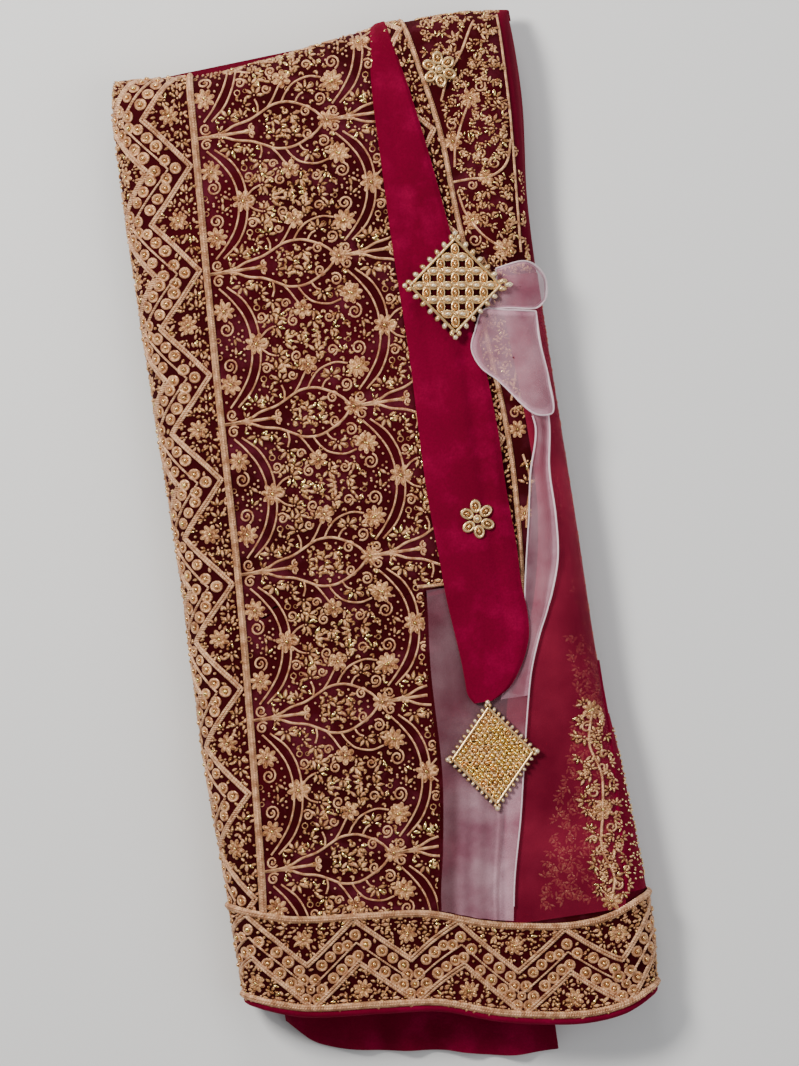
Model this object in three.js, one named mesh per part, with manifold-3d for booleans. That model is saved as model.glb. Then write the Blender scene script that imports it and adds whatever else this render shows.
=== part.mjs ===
// A velvet lehenga skirt, folded across at half its length and lying flat with its hem to the front.
// Millimetres, +Z up off the floor, +Y from the hem to the top fold, +X to the right.
import * as THREE from 'three'
import { mergeVertices } from 'three/addons/utils/BufferGeometryUtils.js'
import Module from 'manifold-3d'

const wasm = await Module()
wasm.setup()

// Driving dimensions
const layersHeight = 40 // the folded layers, floor to top
const foldRadius = layersHeight / 2
const velvetWall = 1.2
const trimWall = 1
const gap = 0.35 // at seams
const layerGap = 0.5 // between cloths that lie on each other
const crown = 3 // rise of the top towards the middle
const crownReach = 125 // half width over which the rise fades
const wave = { rise: 1, length: 230, slant: 0.4, start: 0.6 }
const hemDroop = { fall: 6, from: -170, to: -275 }
const hemWidth = 51
const cordWidth = 3.6
const cordHeight = 1.9
const pipingWidth = 3
const sashWall = 2
const organzaWall = 1
const ornamentWall = 4
const wrapTurn = 135 // degrees round an edge at which a wrapped piece ends
const turnStep = 15

// Heights above the folded layers at which each kind of piece lies
const panelLift = gap
const trimLift = panelLift + velvetWall + layerGap
const organzaLift = trimLift + trimWall + layerGap
const sashLift = organzaLift + organzaWall + layerGap
const knotLift = sashLift + sashWall + layerGap
const upperOrnamentLift = knotLift + organzaWall + 2.6
const wornDepth = trimLift + trimWall // cloth and trim outside the folded layers

// Outline from above: the two long edges, the top fold and the lower edge of the hem border
const leftEdge = [
  { y: -262, x: -112.8 },
  { y: -190, x: -114 },
  { y: -100, x: -116.6 },
  { y: 0, x: -114.7 },
  { y: 110, x: -115.6 },
  { y: 245, x: -115.2 },
  { y: 290, x: -111 },
]
const rightEdge = [
  { y: -262, x: 112.6 },
  { y: -225, x: 115.6 },
  { y: -180, x: 114.2 },
  { y: -134, x: 111.6 },
  { y: -88, x: 107.8 },
  { y: 0, x: 107.2 },
  { y: 120, x: 106 },
  { y: 180, x: 107 },
  { y: 235, x: 111.6 },
  { y: 290, x: 111 },
]
const topEdge = [
  { x: -116, y: 278 },
  { x: -65, y: 273.8 },
  { x: -28, y: 277 },
  { x: 17, y: 283.6 },
  { x: 40, y: 286.6 },
  { x: 84, y: 287.8 },
  { x: 112, y: 285 },
]
const hemLine = [
  { x: -150, y: -231 },
  { x: -113, y: -234.5 },
  { x: -81, y: -244.6 },
  { x: -38, y: -248.8 },
  { x: -7, y: -252.2 },
  { x: 24, y: -262.4 },
  { x: 56, y: -268.8 },
  { x: 74, y: -270.3 },
  { x: 92, y: -268.4 },
  { x: 112, y: -261.4 },
  { x: 150, y: -256 },
]

// Lines on the cloth, as places across at heights along
const cordLine = [
  { y: -262, x: -104 },
  { y: -187, x: -95.6 },
  { y: -103, x: -89.2 },
  { y: 0, x: -82.6 },
  { y: 84, x: -79.4 },
  { y: 163, x: -75.6 },
  { y: 236, x: -71.4 },
  { y: 330, x: -67 },
]
const panelSeam = [
  { y: -280, x: -2 },
  { y: -198, x: 0.7 },
  { y: -166, x: 6.4 },
  { y: -126, x: 11.8 },
  { y: -70, x: 13.8 },
  { y: -25, x: 17.8 },
  { y: 60, x: 21 },
  { y: 330, x: 27 },
]
const foldLine = [
  { y: -280, x: 100 },
  { y: -120, x: 101 },
  { y: -60, x: 97 },
  { y: 100, x: 97 },
  { y: 152, x: 98.6 },
  { y: 221, x: 103.2 },
  { y: 330, x: 105 },
]
const rightCordLine = [
  { y: -40, x: 70.6 },
  { y: 12, x: 74.5 },
  { y: 50, x: 75.4 },
  { y: 90, x: 73 },
  { y: 176, x: 65.3 },
  { y: 224, x: 62.5 },
  { y: 280, x: 52.4 },
  { y: 330, x: 44 },
]
const bindingLine = [
  { y: -215, x: 102.4 },
  { y: -178, x: 103.9 },
  { y: -154, x: 105.2 },
  { y: -117, x: 108.8 },
  { y: -78, x: 111.2 },
]
const sashEdges = [
  { y: -91, left: 35.5, right: 46 },
  { y: -86, left: 32.8, right: 55 },
  { y: -78, left: 32.4, right: 61.8 },
  { y: -68, left: 32, right: 67.4 },
  { y: -58, left: 31.2, right: 70.8 },
  { y: -45, left: 30, right: 71.8 },
  { y: -30, left: 28.8, right: 70.8 },
  { y: -8, left: 28.2, right: 71.2 },
  { y: 22, left: 26.9, right: 70.1 },
  { y: 56, left: 27.2, right: 70.3 },
  { y: 100, left: 28.2, right: 67.6 },
  { y: 168, left: 27.8, right: 60.2 },
  { y: 209, left: 28.4, right: 55.2 },
  { y: 246, left: 29, right: 49.6 },
  { y: 287, left: 32.2, right: 42.4 },
  { y: 330, left: 33, right: 42 },
]
const tailEdges = [
  { y: -92, left: 52, right: 66.5 },
  { y: -76, left: 58, right: 69.9 },
  { y: -58, left: 67, right: 77 },
  { y: -48, left: 72, right: 81.9 },
  { y: -38, left: 74.4, right: 85.9 },
  { y: -18, left: 77.2, right: 91.2 },
  { y: 5, left: 81, right: 93 },
  { y: 30, left: 85.5, right: 93.2 },
  { y: 52, left: 90.3, right: 96.4 },
]
const spreadRight = [
  { y: -215, x: 39 },
  { y: -188, x: 43.8 },
  { y: -156, x: 51.8 },
  { y: -125, x: 58.3 },
  { y: -92, x: 65.6 },
]
const netLeft = [
  { y: -220, x: 34 },
  { y: -92, x: 54 },
  { y: -40, x: 76 },
  { y: 20, x: 86 },
  { y: 140, x: 82 },
]
const tabEnd = -25 // where the panel extension stops
const tabRight = 38
const netTop = 138
const bindingTop = -78
const stripTop = -108
const tailTop = 52
const tailFoot = -92
const borderWidth = 52
const endInset = 6 // the folded layers stop short of the hem
const underHem = {
  left: -93,
  right: 54,
  height: 13,
  footHeight: 4,
  folds: 5,
  foldDepth: 2,
  foot: [
    { x: -93, y: -251 },
    { x: -76, y: -266.5 },
    { x: -43, y: -275 },
    { x: -8, y: -280 },
    { x: 3, y: -283 },
    { x: 26, y: -288 },
    { x: 54, y: -288.4 },
  ],
}
const grooves = { levels: [7, 15, 23], height: 1.4, depth: 6, sideReach: 8, top: 225 }

const clothColors = {
  panel: 0x48040c,
  crimson: 0x770425,
  fold: 0x5a0a1c,
  gold: 0xb88a5c,
  net: 0x711430,
  organza: 0xd3b0b6,
}

function radians(degrees) {
  return (degrees * Math.PI) / 180
}

// Smooth reading of a short table between its rows
function readTable(rows, key, value, at) {
  const last = rows.length - 1
  if (at <= rows[0][key]) return rows[0][value]
  if (at >= rows[last][key]) return rows[last][value]
  let k = 0
  while (rows[k + 1][key] < at) k += 1
  const slope = (a, b) => (rows[b][value] - rows[a][value]) / (rows[b][key] - rows[a][key])
  const span = rows[k + 1][key] - rows[k][key]
  const t = (at - rows[k][key]) / span
  const startSlope = slope(Math.max(k - 1, 0), k + 1) * span
  const endSlope = slope(k, Math.min(k + 2, last)) * span
  const cubic = t * t * t
  const square = t * t
  return (
    (2 * cubic - 3 * square + 1) * rows[k][value] +
    (cubic - 2 * square + t) * startSlope +
    (3 * square - 2 * cubic) * rows[k + 1][value] +
    (cubic - square) * endSlope
  )
}

function clamp(value, low, high) {
  return Math.min(Math.max(value, low), high)
}

function smoothStep(value, low, high) {
  const t = clamp((value - low) / (high - low), 0, 1)
  return t * t * (3 - 2 * t)
}

function hemAt(across) {
  return readTable(hemLine, 'x', 'y', across)
}

function flatLeft(along) {
  return readTable(leftEdge, 'y', 'x', along) + wornDepth + foldRadius
}

function flatRight(along) {
  return readTable(rightEdge, 'y', 'x', along) - wornDepth - foldRadius
}

// Where a distance across, over the rounded side edges, comes in plan
function planAcross(across, along) {
  const left = flatLeft(along)
  const right = flatRight(along)
  if (across < left) return left - foldRadius * Math.sin((left - across) / foldRadius)
  if (across > right) return right + foldRadius * Math.sin((across - right) / foldRadius)
  return across
}

function flatTop(across) {
  const nearTop = 260
  return readTable(topEdge, 'x', 'y', planAcross(across, nearTop)) - wornDepth - foldRadius
}

// How much the top of the layers rises or falls at a place
function topRise(x, y) {
  const dome = crown * (1 - (x / crownReach) ** 2)
  const turn = ((y + wave.slant * x) * 2 * Math.PI) / wave.length + wave.start
  const droop = hemDroop.fall * smoothStep(-y, -hemDroop.from, -hemDroop.to)
  return dome + wave.rise * Math.sin(turn) - droop
}

// The cloth's own map: distance across and along, over the rounded edges, to a place in space
function surfacePoint(across, along, lift) {
  const left = flatLeft(along)
  const right = flatRight(along)
  const top = flatTop(across)
  const side = across < left ? -1 : 1
  const turnSide = Math.max(0, left - across, across - right) / foldRadius
  const turnTop = Math.max(0, along - top) / foldRadius
  const x = planAcross(across, along)
  const y = Math.min(along, top) + foldRadius * Math.sin(turnTop)
  const facingSide = Math.cos(turnSide)
  const facingTop = Math.cos(turnTop)
  const below = facingSide < 0 && facingTop < 0 ? -1 : 1
  const facing = facingSide * facingTop * below
  const rise = topRise(x, y) * Math.max(0, facing)
  const normal = new THREE.Vector3(side * Math.sin(turnSide), Math.sin(turnTop), facing)
  normal.normalize()
  const point = new THREE.Vector3(x, y, foldRadius + foldRadius * facing + rise)
  return point.addScaledVector(normal, lift)
}

// A stiff piece keeps its place in plan and bows down a little past the rounded edge
function laidPoint(x, y, lift) {
  const inside = clamp(x, flatLeft(y), flatRight(y))
  const point = surfacePoint(inside, y, lift)
  point.x = x
  point.z -= (x - inside) ** 2 / 60
  return point
}

function closedShell(outer, inner, columns, rows) {
  const wide = columns + 1
  const under = outer.length
  const index = []
  const quad = (a, b, c, d) => index.push(a, b, c, a, c, d)
  for (let j = 0; j < rows; j += 1) {
    for (let i = 0; i < columns; i += 1) {
      const a = j * wide + i
      const d = a + wide
      quad(a, a + 1, d + 1, d)
      quad(under + a, under + d, under + d + 1, under + a + 1)
    }
  }
  for (let i = 0; i < columns; i += 1) {
    const far = rows * wide + i
    quad(under + i, under + i + 1, i + 1, i)
    quad(far, far + 1, under + far + 1, under + far)
  }
  for (let j = 0; j < rows; j += 1) {
    const near = j * wide
    const side = near + columns
    quad(near, near + wide, under + near + wide, under + near)
    quad(side, under + side, under + side + wide, side + wide)
  }
  return geometryFrom([...outer, ...inner], index)
}

function geometryFrom(points, index) {
  const geometry = new THREE.BufferGeometry()
  const position = points.flatMap((p) => [p.x, p.y, p.z])
  geometry.setAttribute('position', new THREE.Float32BufferAttribute(position, 3))
  geometry.setIndex(index)
  return geometry
}

// A wall of cloth: place(i, j) gives where it lies, and how thick it is if that varies
function clothWall({ columns, rows, wall, place }) {
  const inner = []
  const outer = []
  for (let j = 0; j <= rows; j += 1) {
    for (let i = 0; i <= columns; i += 1) {
      const spot = place(i, j)
      inner.push(surfacePoint(spot.across, spot.along, spot.lift))
      outer.push(surfacePoint(spot.across, spot.along, spot.lift + (spot.wall ?? wall)))
    }
  }
  return closedShell(outer, inner, columns, rows)
}

function turnsUpTo(turn) {
  const steps = Math.round(turn / turnStep)
  return Array.from({ length: steps + 1 }, (_, k) => radians(k * turnStep))
}

function evenly(from, to, count) {
  return Array.from({ length: count + 1 }, (_, k) => from + ((to - from) * k) / count)
}

// Rows that every laid piece shares: along the hem border, at set heights, then over the top fold
const setRows = [-165, -136, -108, -78, -25, 15, 52, 95, 138, 185, 232]
const hemRows = 3
const topRow = hemRows + setRows.length
const row = {
  hem: 0,
  aboveHem: hemRows - 1,
  tab: hemRows + setRows.indexOf(tabEnd),
  strip: hemRows + setRows.indexOf(stripTop),
  binding: hemRows + setRows.indexOf(bindingTop),
  net: hemRows + setRows.indexOf(netTop),
  tail: hemRows + setRows.indexOf(tailTop),
  half: topRow + 90 / turnStep,
  tucked: topRow + wrapTurn / turnStep,
}

function rowAlong(across, k) {
  if (k < hemRows) return hemAt(across) + (hemWidth * k) / (hemRows - 1)
  if (k < topRow) return setRows[k - hemRows]
  return flatTop(across) + foldRadius * radians((k - topRow) * turnStep)
}

// A wall between two of the shared rows; its first row may be drawn in or let out
function rowedWall({ from, to, columns, wall, nearShift = 0, place }) {
  return clothWall({
    columns,
    rows: to - from,
    wall,
    place(i, j) {
      const k = from + j
      const spot = place(i, rowAlong(0, k), k)
      const along = rowAlong(spot.across, k) + (j === 0 ? nearShift : 0)
      return { ...spot, along }
    },
  })
}

function foldedLayers() {
  const turns = turnsUpTo(90)
  const edge = turns.length - 1
  const flatCount = 6
  const columns = 2 * edge + flatCount
  const lastRow = topRow + 60 / turnStep
  const slack = 0.6
  const outer = []
  const inner = []
  for (let k = 0; k <= lastRow; k += 1) {
    for (let i = 0; i <= columns; i += 1) {
      const guess = rowAlong(0, k)
      const left = flatLeft(guess)
      const right = flatRight(guess)
      const turn = turns[Math.max(edge - i, i - edge - flatCount, 0)]
      const flat = left + ((right - left) * clamp(i - edge, 0, flatCount)) / flatCount
      const across = flat + foldRadius * turn * (i < edge ? -1 : 1)
      const along = rowAlong(across, k) + (k === 0 ? endInset : 0)
      const corner = k > topRow ? Math.sin(turn) * Math.sin(radians((k - topRow) * turnStep)) : 0
      const point = surfacePoint(across, along, 0)
      outer.push(surfacePoint(across, along, -slack - 4 * corner))
      const facing = clamp((point.z - foldRadius) / (foldRadius + topRise(point.x, point.y)), 0, 1)
      const under = outer.at(-1)
      inner.push(new THREE.Vector3(under.x, under.y, foldRadius - foldRadius * facing))
    }
  }
  const body = solidFrom(closedShell(outer, inner, columns, lastRow))
  return geometryOf(grooves.levels.reduce((left, level) => left.subtract(grooveCutter(level)), body))
}

// The slot between two inner layers, down the right edge and along the hem end
function grooveCutter(level) {
  const outside = 150
  const sideAt = (y) => flatRight(y) + foldRadius - grooves.sideReach
  const endAt = (x) => hemAt(x) + endInset + grooves.depth
  const heights = evenly(grooves.top, -225, 4)
  const places = evenly(90, -104, 7)
  const shape = new THREE.Shape()
  shape.moveTo(outside, grooves.top)
  heights.forEach((y) => shape.lineTo(sideAt(y), y))
  places.forEach((x) => shape.lineTo(x, endAt(x)))
  shape.lineTo(-outside, endAt(-104))
  shape.lineTo(-outside, -300)
  shape.lineTo(outside, -300)
  const cutter = new THREE.ExtrudeGeometry(shape, { depth: grooves.height, bevelEnabled: false })
  cutter.translate(0, 0, level)
  return solidFrom(cutter)
}

function solidFrom(geometry) {
  const bare = geometry.clone()
  bare.deleteAttribute('normal')
  bare.deleteAttribute('uv')
  const merged = mergeVertices(bare, 1e-4)
  const mesh = new wasm.Mesh({
    numProp: 3,
    vertProperties: new Float32Array(merged.attributes.position.array),
    triVerts: new Uint32Array(merged.index.array),
  })
  return new wasm.Manifold(mesh)
}

function geometryOf(solid) {
  const mesh = solid.getMesh()
  const geometry = new THREE.BufferGeometry()
  geometry.setAttribute('position', new THREE.BufferAttribute(mesh.vertProperties, 3))
  geometry.setIndex(new THREE.BufferAttribute(mesh.triVerts, 1))
  return geometry
}

function frontPanel() {
  const turns = turnsUpTo(wrapTurn).reverse()
  const flatCount = 6
  const cornerSlack = 1.4
  return rowedWall({
    from: row.hem,
    to: row.tucked,
    columns: turns.length - 1 + flatCount,
    wall: velvetWall,
    place(i, y, k) {
      const left = flatLeft(y)
      const seam = readTable(panelSeam, 'y', 'x', y)
      const flat = left + ((seam - left) * (i - turns.length + 1)) / flatCount
      const across = i < turns.length ? left - foldRadius * turns[i] : flat
      const tuckedCorner = k >= row.half && turns[i] >= Math.PI / 2
      return { across, lift: tuckedCorner ? panelLift + cornerSlack : panelLift }
    },
  })
}

function panelTab() {
  return rowedWall({
    from: row.tab,
    to: row.tucked,
    columns: 1,
    wall: velvetWall,
    place(i, y) {
      const seam = readTable(panelSeam, 'y', 'x', y) + gap
      return { across: seam + (tabRight - seam) * i, lift: panelLift }
    },
  })
}

function tabCord() {
  const places = evenly(14.5, tabRight - gap, 3)
  return clothWall({
    columns: 3,
    rows: 2,
    place(i, j) {
      const along = tabEnd + 1.6 + (j - 1) * 1.2
      return { across: places[i], along, lift: trimLift, wall: j === 1 ? 1.6 : 0.9 }
    },
  })
}

function sideBorder() {
  const columns = 10
  return rowedWall({
    from: row.aboveHem,
    to: row.tucked - 1,
    columns,
    wall: trimWall,
    nearShift: 1,
    place(i, y) {
      const line = readTable(cordLine, 'y', 'x', y)
      const bend = Math.min(flatLeft(y), line - 4)
      const turnsTo = flatLeft(y) - foldRadius * radians(wrapTurn)
      const outer = Math.max(line - borderWidth, turnsTo)
      const onEdge = columns - 2
      const turned = outer + ((bend - outer) * i) / onEdge
      const flat = bend + ((line - bend) * (i - onEdge)) / 2
      return { across: i < onEdge ? turned : flat, lift: trimLift }
    },
  })
}

// A raised cord along a line, between two of the shared rows
function cordAlong(line, from, shift, nearShift) {
  return rowedWall({
    from,
    to: row.tucked - 1,
    columns: 2,
    nearShift,
    place(i, y) {
      const across = readTable(line, 'y', 'x', y) + shift + (i - 1) * (cordWidth / 2)
      const wall = i === 1 ? cordHeight : cordHeight * 0.55
      return { across, lift: trimLift, wall }
    },
  })
}

function rightBorder() {
  return rowedWall({
    from: row.tab,
    to: row.tucked - 1,
    columns: 2,
    wall: trimWall,
    place(i, y) {
      const outer = readTable(rightCordLine, 'y', 'x', y) - cordWidth / 2 - gap
      const hidden = readTable(sashEdges, 'y', 'right', y) - 6
      const start = Math.min(outer - 4, hidden)
      return { across: start + ((outer - start) * i) / 2, lift: trimLift }
    },
  })
}

// The right panel's left edge steps aside where the panel extension begins
function rightPanel() {
  const columns = 7
  const rows = row.tucked + 1
  return clothWall({
    columns,
    rows,
    wall: velvetWall,
    place(i, j) {
      const k = j > row.tab ? j - 1 : j
      const step = j === row.tab ? -gap : 0
      const y = rowAlong(100, k)
      const seam = readTable(panelSeam, 'y', 'x', rowAlong(0, k)) + gap
      const start = j <= row.tab ? seam : tabRight + gap
      const end = readTable(foldLine, 'y', 'x', y) - gap
      const right = flatRight(y)
      const onEdge = columns - 3
      let across = start + ((right - start) * i) / onEdge
      if (i > onEdge) across = right + ((end - right) * (i - onEdge)) / 3
      return { across, along: rowAlong(across, k) + step, lift: panelLift }
    },
  })
}

function rightFold() {
  const columns = 8
  return rowedWall({
    from: row.hem,
    to: row.tucked,
    columns,
    wall: velvetWall,
    place(i, guess, k) {
      const y = rowAlong(100, k)
      const start = readTable(foldLine, 'y', 'x', y)
      const end = flatRight(y) + foldRadius * radians(wrapTurn)
      return { across: start + ((end - start) * i) / columns, lift: panelLift }
    },
  })
}

function netOverlay() {
  const flatCount = 3
  const edgeCount = 5
  const upperTurn = radians(75)
  return rowedWall({
    from: row.aboveHem,
    to: row.net,
    columns: flatCount + edgeCount,
    wall: trimWall,
    nearShift: 1.2,
    place(i, y) {
      const start = readTable(netLeft, 'y', 'x', y)
      const bound = readTable(bindingLine, 'y', 'x', y) - cordWidth / 2 - gap
      const end = y <= bindingTop ? bound : flatRight(y) + foldRadius * upperTurn
      const right = Math.max(flatRight(y), start + 1)
      const flat = start + ((right - start) * i) / flatCount
      const turned = right + ((end - right) * (i - flatCount)) / edgeCount
      return { across: i < flatCount ? flat : turned, lift: trimLift }
    },
  })
}

function netBinding() {
  return rowedWall({
    from: row.aboveHem,
    to: row.binding,
    columns: 2,
    nearShift: cordWidth / 2 + 1,
    place(i, y) {
      const across = readTable(bindingLine, 'y', 'x', y) + (i - 1) * (cordWidth / 2)
      return { across, lift: trimLift, wall: i === 1 ? cordHeight : trimWall }
    },
  })
}

function edgeStrip() {
  const columns = 6
  return rowedWall({
    from: row.aboveHem,
    to: row.strip,
    columns,
    wall: trimWall,
    nearShift: 1,
    place(i, y) {
      const start = readTable(bindingLine, 'y', 'x', y) + cordWidth / 2 + gap
      const end = flatRight(y) + foldRadius * radians(120)
      return { across: start + ((end - start) * i) / columns, lift: trimLift }
    },
  })
}

// Places right across the hem, round both side edges
function hemPlaces(turn) {
  const turns = turnsUpTo(turn)
  const left = flatLeft(-220)
  const right = flatRight(-220)
  return [
    ...turns.slice(1).reverse().map((t) => left - foldRadius * t),
    ...evenly(left, right, 9),
    ...turns.slice(1).map((t) => right + foldRadius * t),
  ]
}

function hemStrip(turn, from, to, rows, lift, wallAt) {
  const places = hemPlaces(turn)
  return clothWall({
    columns: places.length - 1,
    rows,
    place(i, j) {
      const along = hemAt(places[i]) + from + ((to - from) * j) / rows
      return { across: places[i], along, lift, wall: wallAt(j) }
    },
  })
}

function hemBorder() {
  return hemStrip(wrapTurn, 0, hemWidth, 2, trimLift, () => trimWall)
}

function hemCord(middle) {
  const half = cordWidth / 2
  const ridge = (j) => (j === 1 ? cordHeight : cordHeight * 0.55)
  return hemStrip(120, middle - half, middle + half, 2, organzaLift, ridge)
}

function hemPiping() {
  return hemStrip(wrapTurn, -pipingWidth - 1, -1, 1, panelLift, () => 2)
}

function underHemLayer() {
  const columns = 20
  const rows = 2
  const outer = []
  const inner = []
  const start = 1.2
  for (let j = 0; j <= rows; j += 1) {
    for (let i = 0; i <= columns; i += 1) {
      const x = underHem.left + ((underHem.right - underHem.left) * i) / columns
      const head = hemAt(x) + endInset - start
      const foot = readTable(underHem.foot, 'x', 'y', x)
      const t = j / rows
      const y = foot + (head - foot) * t
      const ripple = underHem.foldDepth * Math.sin((i / columns) * underHem.folds * 2 * Math.PI)
      const z = underHem.footHeight + (underHem.height - underHem.footHeight) * t + ripple * (1 - 0.5 * t)
      inner.push(new THREE.Vector3(x, y, z))
      outer.push(new THREE.Vector3(x, y, z + velvetWall))
    }
  }
  return closedShell(outer, inner, columns, rows)
}

function sashHeight(y, share) {
  const low = trimLift
  const flat = 1 - smoothStep(y, -12, 36)
  return low + (sashLift + gap - low) * Math.max(flat, share)
}

function velvetSash() {
  const columns = 3
  const rounded = turnsUpTo(120)
  const heights = [-91, -86, -78, -68, -58, -45, -25, -5, 15, 35, 52, 95, 138, 185, 232]
  return clothWall({
    columns,
    rows: heights.length - 1 + rounded.length,
    wall: sashWall,
    place(i, j) {
      const share = i / columns
      const middle = 37
      const rolled = rounded[j - heights.length]
      const along = j < heights.length ? heights[j] : flatTop(middle) + foldRadius * rolled
      const left = readTable(sashEdges, 'y', 'left', along)
      const right = readTable(sashEdges, 'y', 'right', along)
      return { across: left + (right - left) * share, along, lift: sashHeight(along, share) }
    },
  })
}

function organzaTail() {
  const columns = 3
  const heights = [tailFoot + gap, -78, -60, -48, -38, -25, -5, 15, 34, tailTop]
  return clothWall({
    columns,
    rows: heights.length - 1,
    wall: organzaWall,
    place(i, j) {
      const along = heights[j]
      const left = readTable(tailEdges, 'y', 'left', along)
      const right = readTable(tailEdges, 'y', 'right', along)
      return { across: left + ((right - left) * i) / columns, along, lift: organzaLift }
    },
  })
}

// Below the sash the ribbon opens out; above its foot it lies narrow under the sash
function organzaSpread() {
  const columns = 5
  const open = [row.aboveHem, row.aboveHem + 0.5, row.aboveHem + 1, row.aboveHem + 2]
  const narrow = [tailFoot + gap, -78, -50, tabEnd - gap]
  const foot = hemWidth + cordWidth / 2 + 1
  const alongAt = (across, j) => {
    if (j === 0) return hemAt(across) + foot
    if (j === 1) return (hemAt(across) + foot + setRows[0]) / 2
    if (j < open.length) return rowAlong(across, open[j])
    if (j === open.length) return tailFoot
    return narrow[j - open.length - 1]
  }
  return clothWall({
    columns,
    rows: open.length + narrow.length,
    wall: organzaWall,
    place(i, j) {
      const y = alongAt(0, j)
      const left = readTable(panelSeam, 'y', 'x', y) + 1
      const right = j <= open.length ? readTable(spreadRight, 'y', 'x', alongAt(40, j)) : 44
      const across = left + ((right - left) * i) / columns
      return { across, along: alongAt(across, j), lift: organzaLift }
    },
  })
}

// A piece with an outline that its middle sees all round, laid flat or domed
function roundWall({ middle, outline, rings, lift, wall, dome = 0 }) {
  const outer = []
  const inner = []
  const sectors = outline.length
  const lay = (share, k, top) => {
    const spot = outline[k % sectors]
    const x = middle.x + (spot.x - middle.x) * share
    const y = middle.y + (spot.y - middle.y) * share
    const height = typeof lift === 'function' ? lift(x, y) : lift
    return laidPoint(x, y, height + dome * (1 - share * share) + (top ? wall : 0))
  }
  for (let j = 1; j <= rings; j += 1) {
    for (let k = 0; k < sectors; k += 1) {
      outer.push(lay(j / rings, k, true))
      inner.push(lay(j / rings, k, false))
    }
  }
  const under = outer.length + 1
  const index = []
  const last = (rings - 1) * sectors
  for (let k = 0; k < sectors; k += 1) {
    const next = (k + 1) % sectors
    index.push(0, 1 + k, 1 + next)
    index.push(under, under + 1 + next, under + 1 + k)
    for (let j = 0; j < rings - 1; j += 1) {
      const a = 1 + j * sectors + k
      const b = 1 + j * sectors + next
      index.push(a, a + sectors, b + sectors, a, b + sectors, b)
      index.push(under + a, under + b + sectors, under + a + sectors, under + a, under + b, under + b + sectors)
    }
    const rim = 1 + last + k
    const rimNext = 1 + last + next
    index.push(rim, under + rim, under + rimNext, rim, under + rimNext, rimNext)
  }
  const points = [lay(0, 0, true), ...outer, lay(0, 0, false), ...inner]
  return geometryFrom(points, index)
}

// Walks straight from corner to corner of an outline in equal steps
function walk(corners, steps) {
  return corners.flatMap((corner, k) => {
    const next = corners[(k + 1) % corners.length]
    return Array.from({ length: steps }, (_, n) => ({
      x: corner.x + ((next.x - corner.x) * n) / steps,
      y: corner.y + ((next.y - corner.y) * n) / steps,
    }))
  })
}

function diamondOutline({ x, y, across, along, turn, beads }) {
  const angle = radians(turn)
  const corners = [
    { x: across / 2, y: 0 },
    { x: 0, y: along / 2 },
    { x: -across / 2, y: 0 },
    { x: 0, y: -along / 2 },
  ]
  return walk(corners, beads * 2).map((spot, n) => {
    const pull = n % 2 === 0 ? 1 : 0.95
    return {
      x: x + (spot.x * Math.cos(angle) - spot.y * Math.sin(angle)) * pull,
      y: y + (spot.x * Math.sin(angle) + spot.y * Math.cos(angle)) * pull,
    }
  })
}

function flowerOutline({ x, y, across, along, petals }) {
  const steps = petals * 6
  return Array.from({ length: steps }, (_, k) => {
    const angle = (k / steps) * 2 * Math.PI
    const reach = 0.72 + 0.28 * Math.abs(Math.cos((petals / 2) * angle)) ** 0.7
    return { x: x + (across / 2) * reach * Math.cos(angle), y: y + (along / 2) * reach * Math.sin(angle) }
  })
}

const upperDiamond = { x: 58.6, y: 136.5, across: 56, along: 58, turn: -8, beads: 7 }
const lowerDiamond = { x: 41.4, y: -121.8, across: 50, along: 59.5, turn: -3, beads: 7 }
const upperFlower = { x: 67.4, y: 255, across: 20, along: 21, petals: 6 }
const lowerFlower = { x: 52, y: 8.6, across: 20, along: 23.5, petals: 6 }
const loopOutline = [
  { x: 81, y: 134 },
  { x: 75, y: 122.2 },
  { x: 84.8, y: 120.4 },
  { x: 96.6, y: 118.2 },
  { x: 102, y: 121.4 },
  { x: 105, y: 125.4 },
  { x: 106.2, y: 132.5 },
  { x: 102.7, y: 139 },
  { x: 94.6, y: 144.6 },
  { x: 82, y: 142.6 },
]
const lobeOutline = [
  { x: 96.4, y: 116.6 },
  { x: 84.6, y: 119.2 },
  { x: 72, y: 121.4 },
  { x: 66, y: 111 },
  { x: 62.5, y: 101 },
  { x: 66, y: 90.5 },
  { x: 74, y: 82.2 },
  { x: 82, y: 71.8 },
  { x: 90, y: 60.5 },
  { x: 97.6, y: 60.5 },
  { x: 98, y: 78 },
  { x: 96.4, y: 98 },
]

function organzaLoop() {
  const middle = { x: 89, y: 132 }
  const outline = walk(loopOutline, 2)
  return roundWall({ middle, outline, rings: 3, lift: knotLift, wall: organzaWall, dome: 3 })
}

// The lower lobe comes down from the knot to meet the tail
function organzaLobe() {
  const middle = { x: 84, y: 98 }
  const outline = walk(lobeOutline, 2)
  const lift = (x, y) => organzaLift + (knotLift - organzaLift) * smoothStep(y, 58, 84)
  return roundWall({ middle, outline, rings: 3, lift, wall: organzaWall, dome: 1.5 })
}

function ornament(form, lift) {
  return roundWall({ middle: form, outline: diamondOutline(form), rings: 1, lift, wall: ornamentWall })
}

function flower(form, lift) {
  return roundWall({ middle: form, outline: flowerOutline(form), rings: 1, lift, wall: 2.2 })
}

function sashTop(x, y) {
  const left = readTable(sashEdges, 'y', 'left', y)
  const right = readTable(sashEdges, 'y', 'right', y)
  return sashHeight(y, clamp((x - left) / (right - left), 0, 1)) + sashWall + 2 * gap
}

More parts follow.
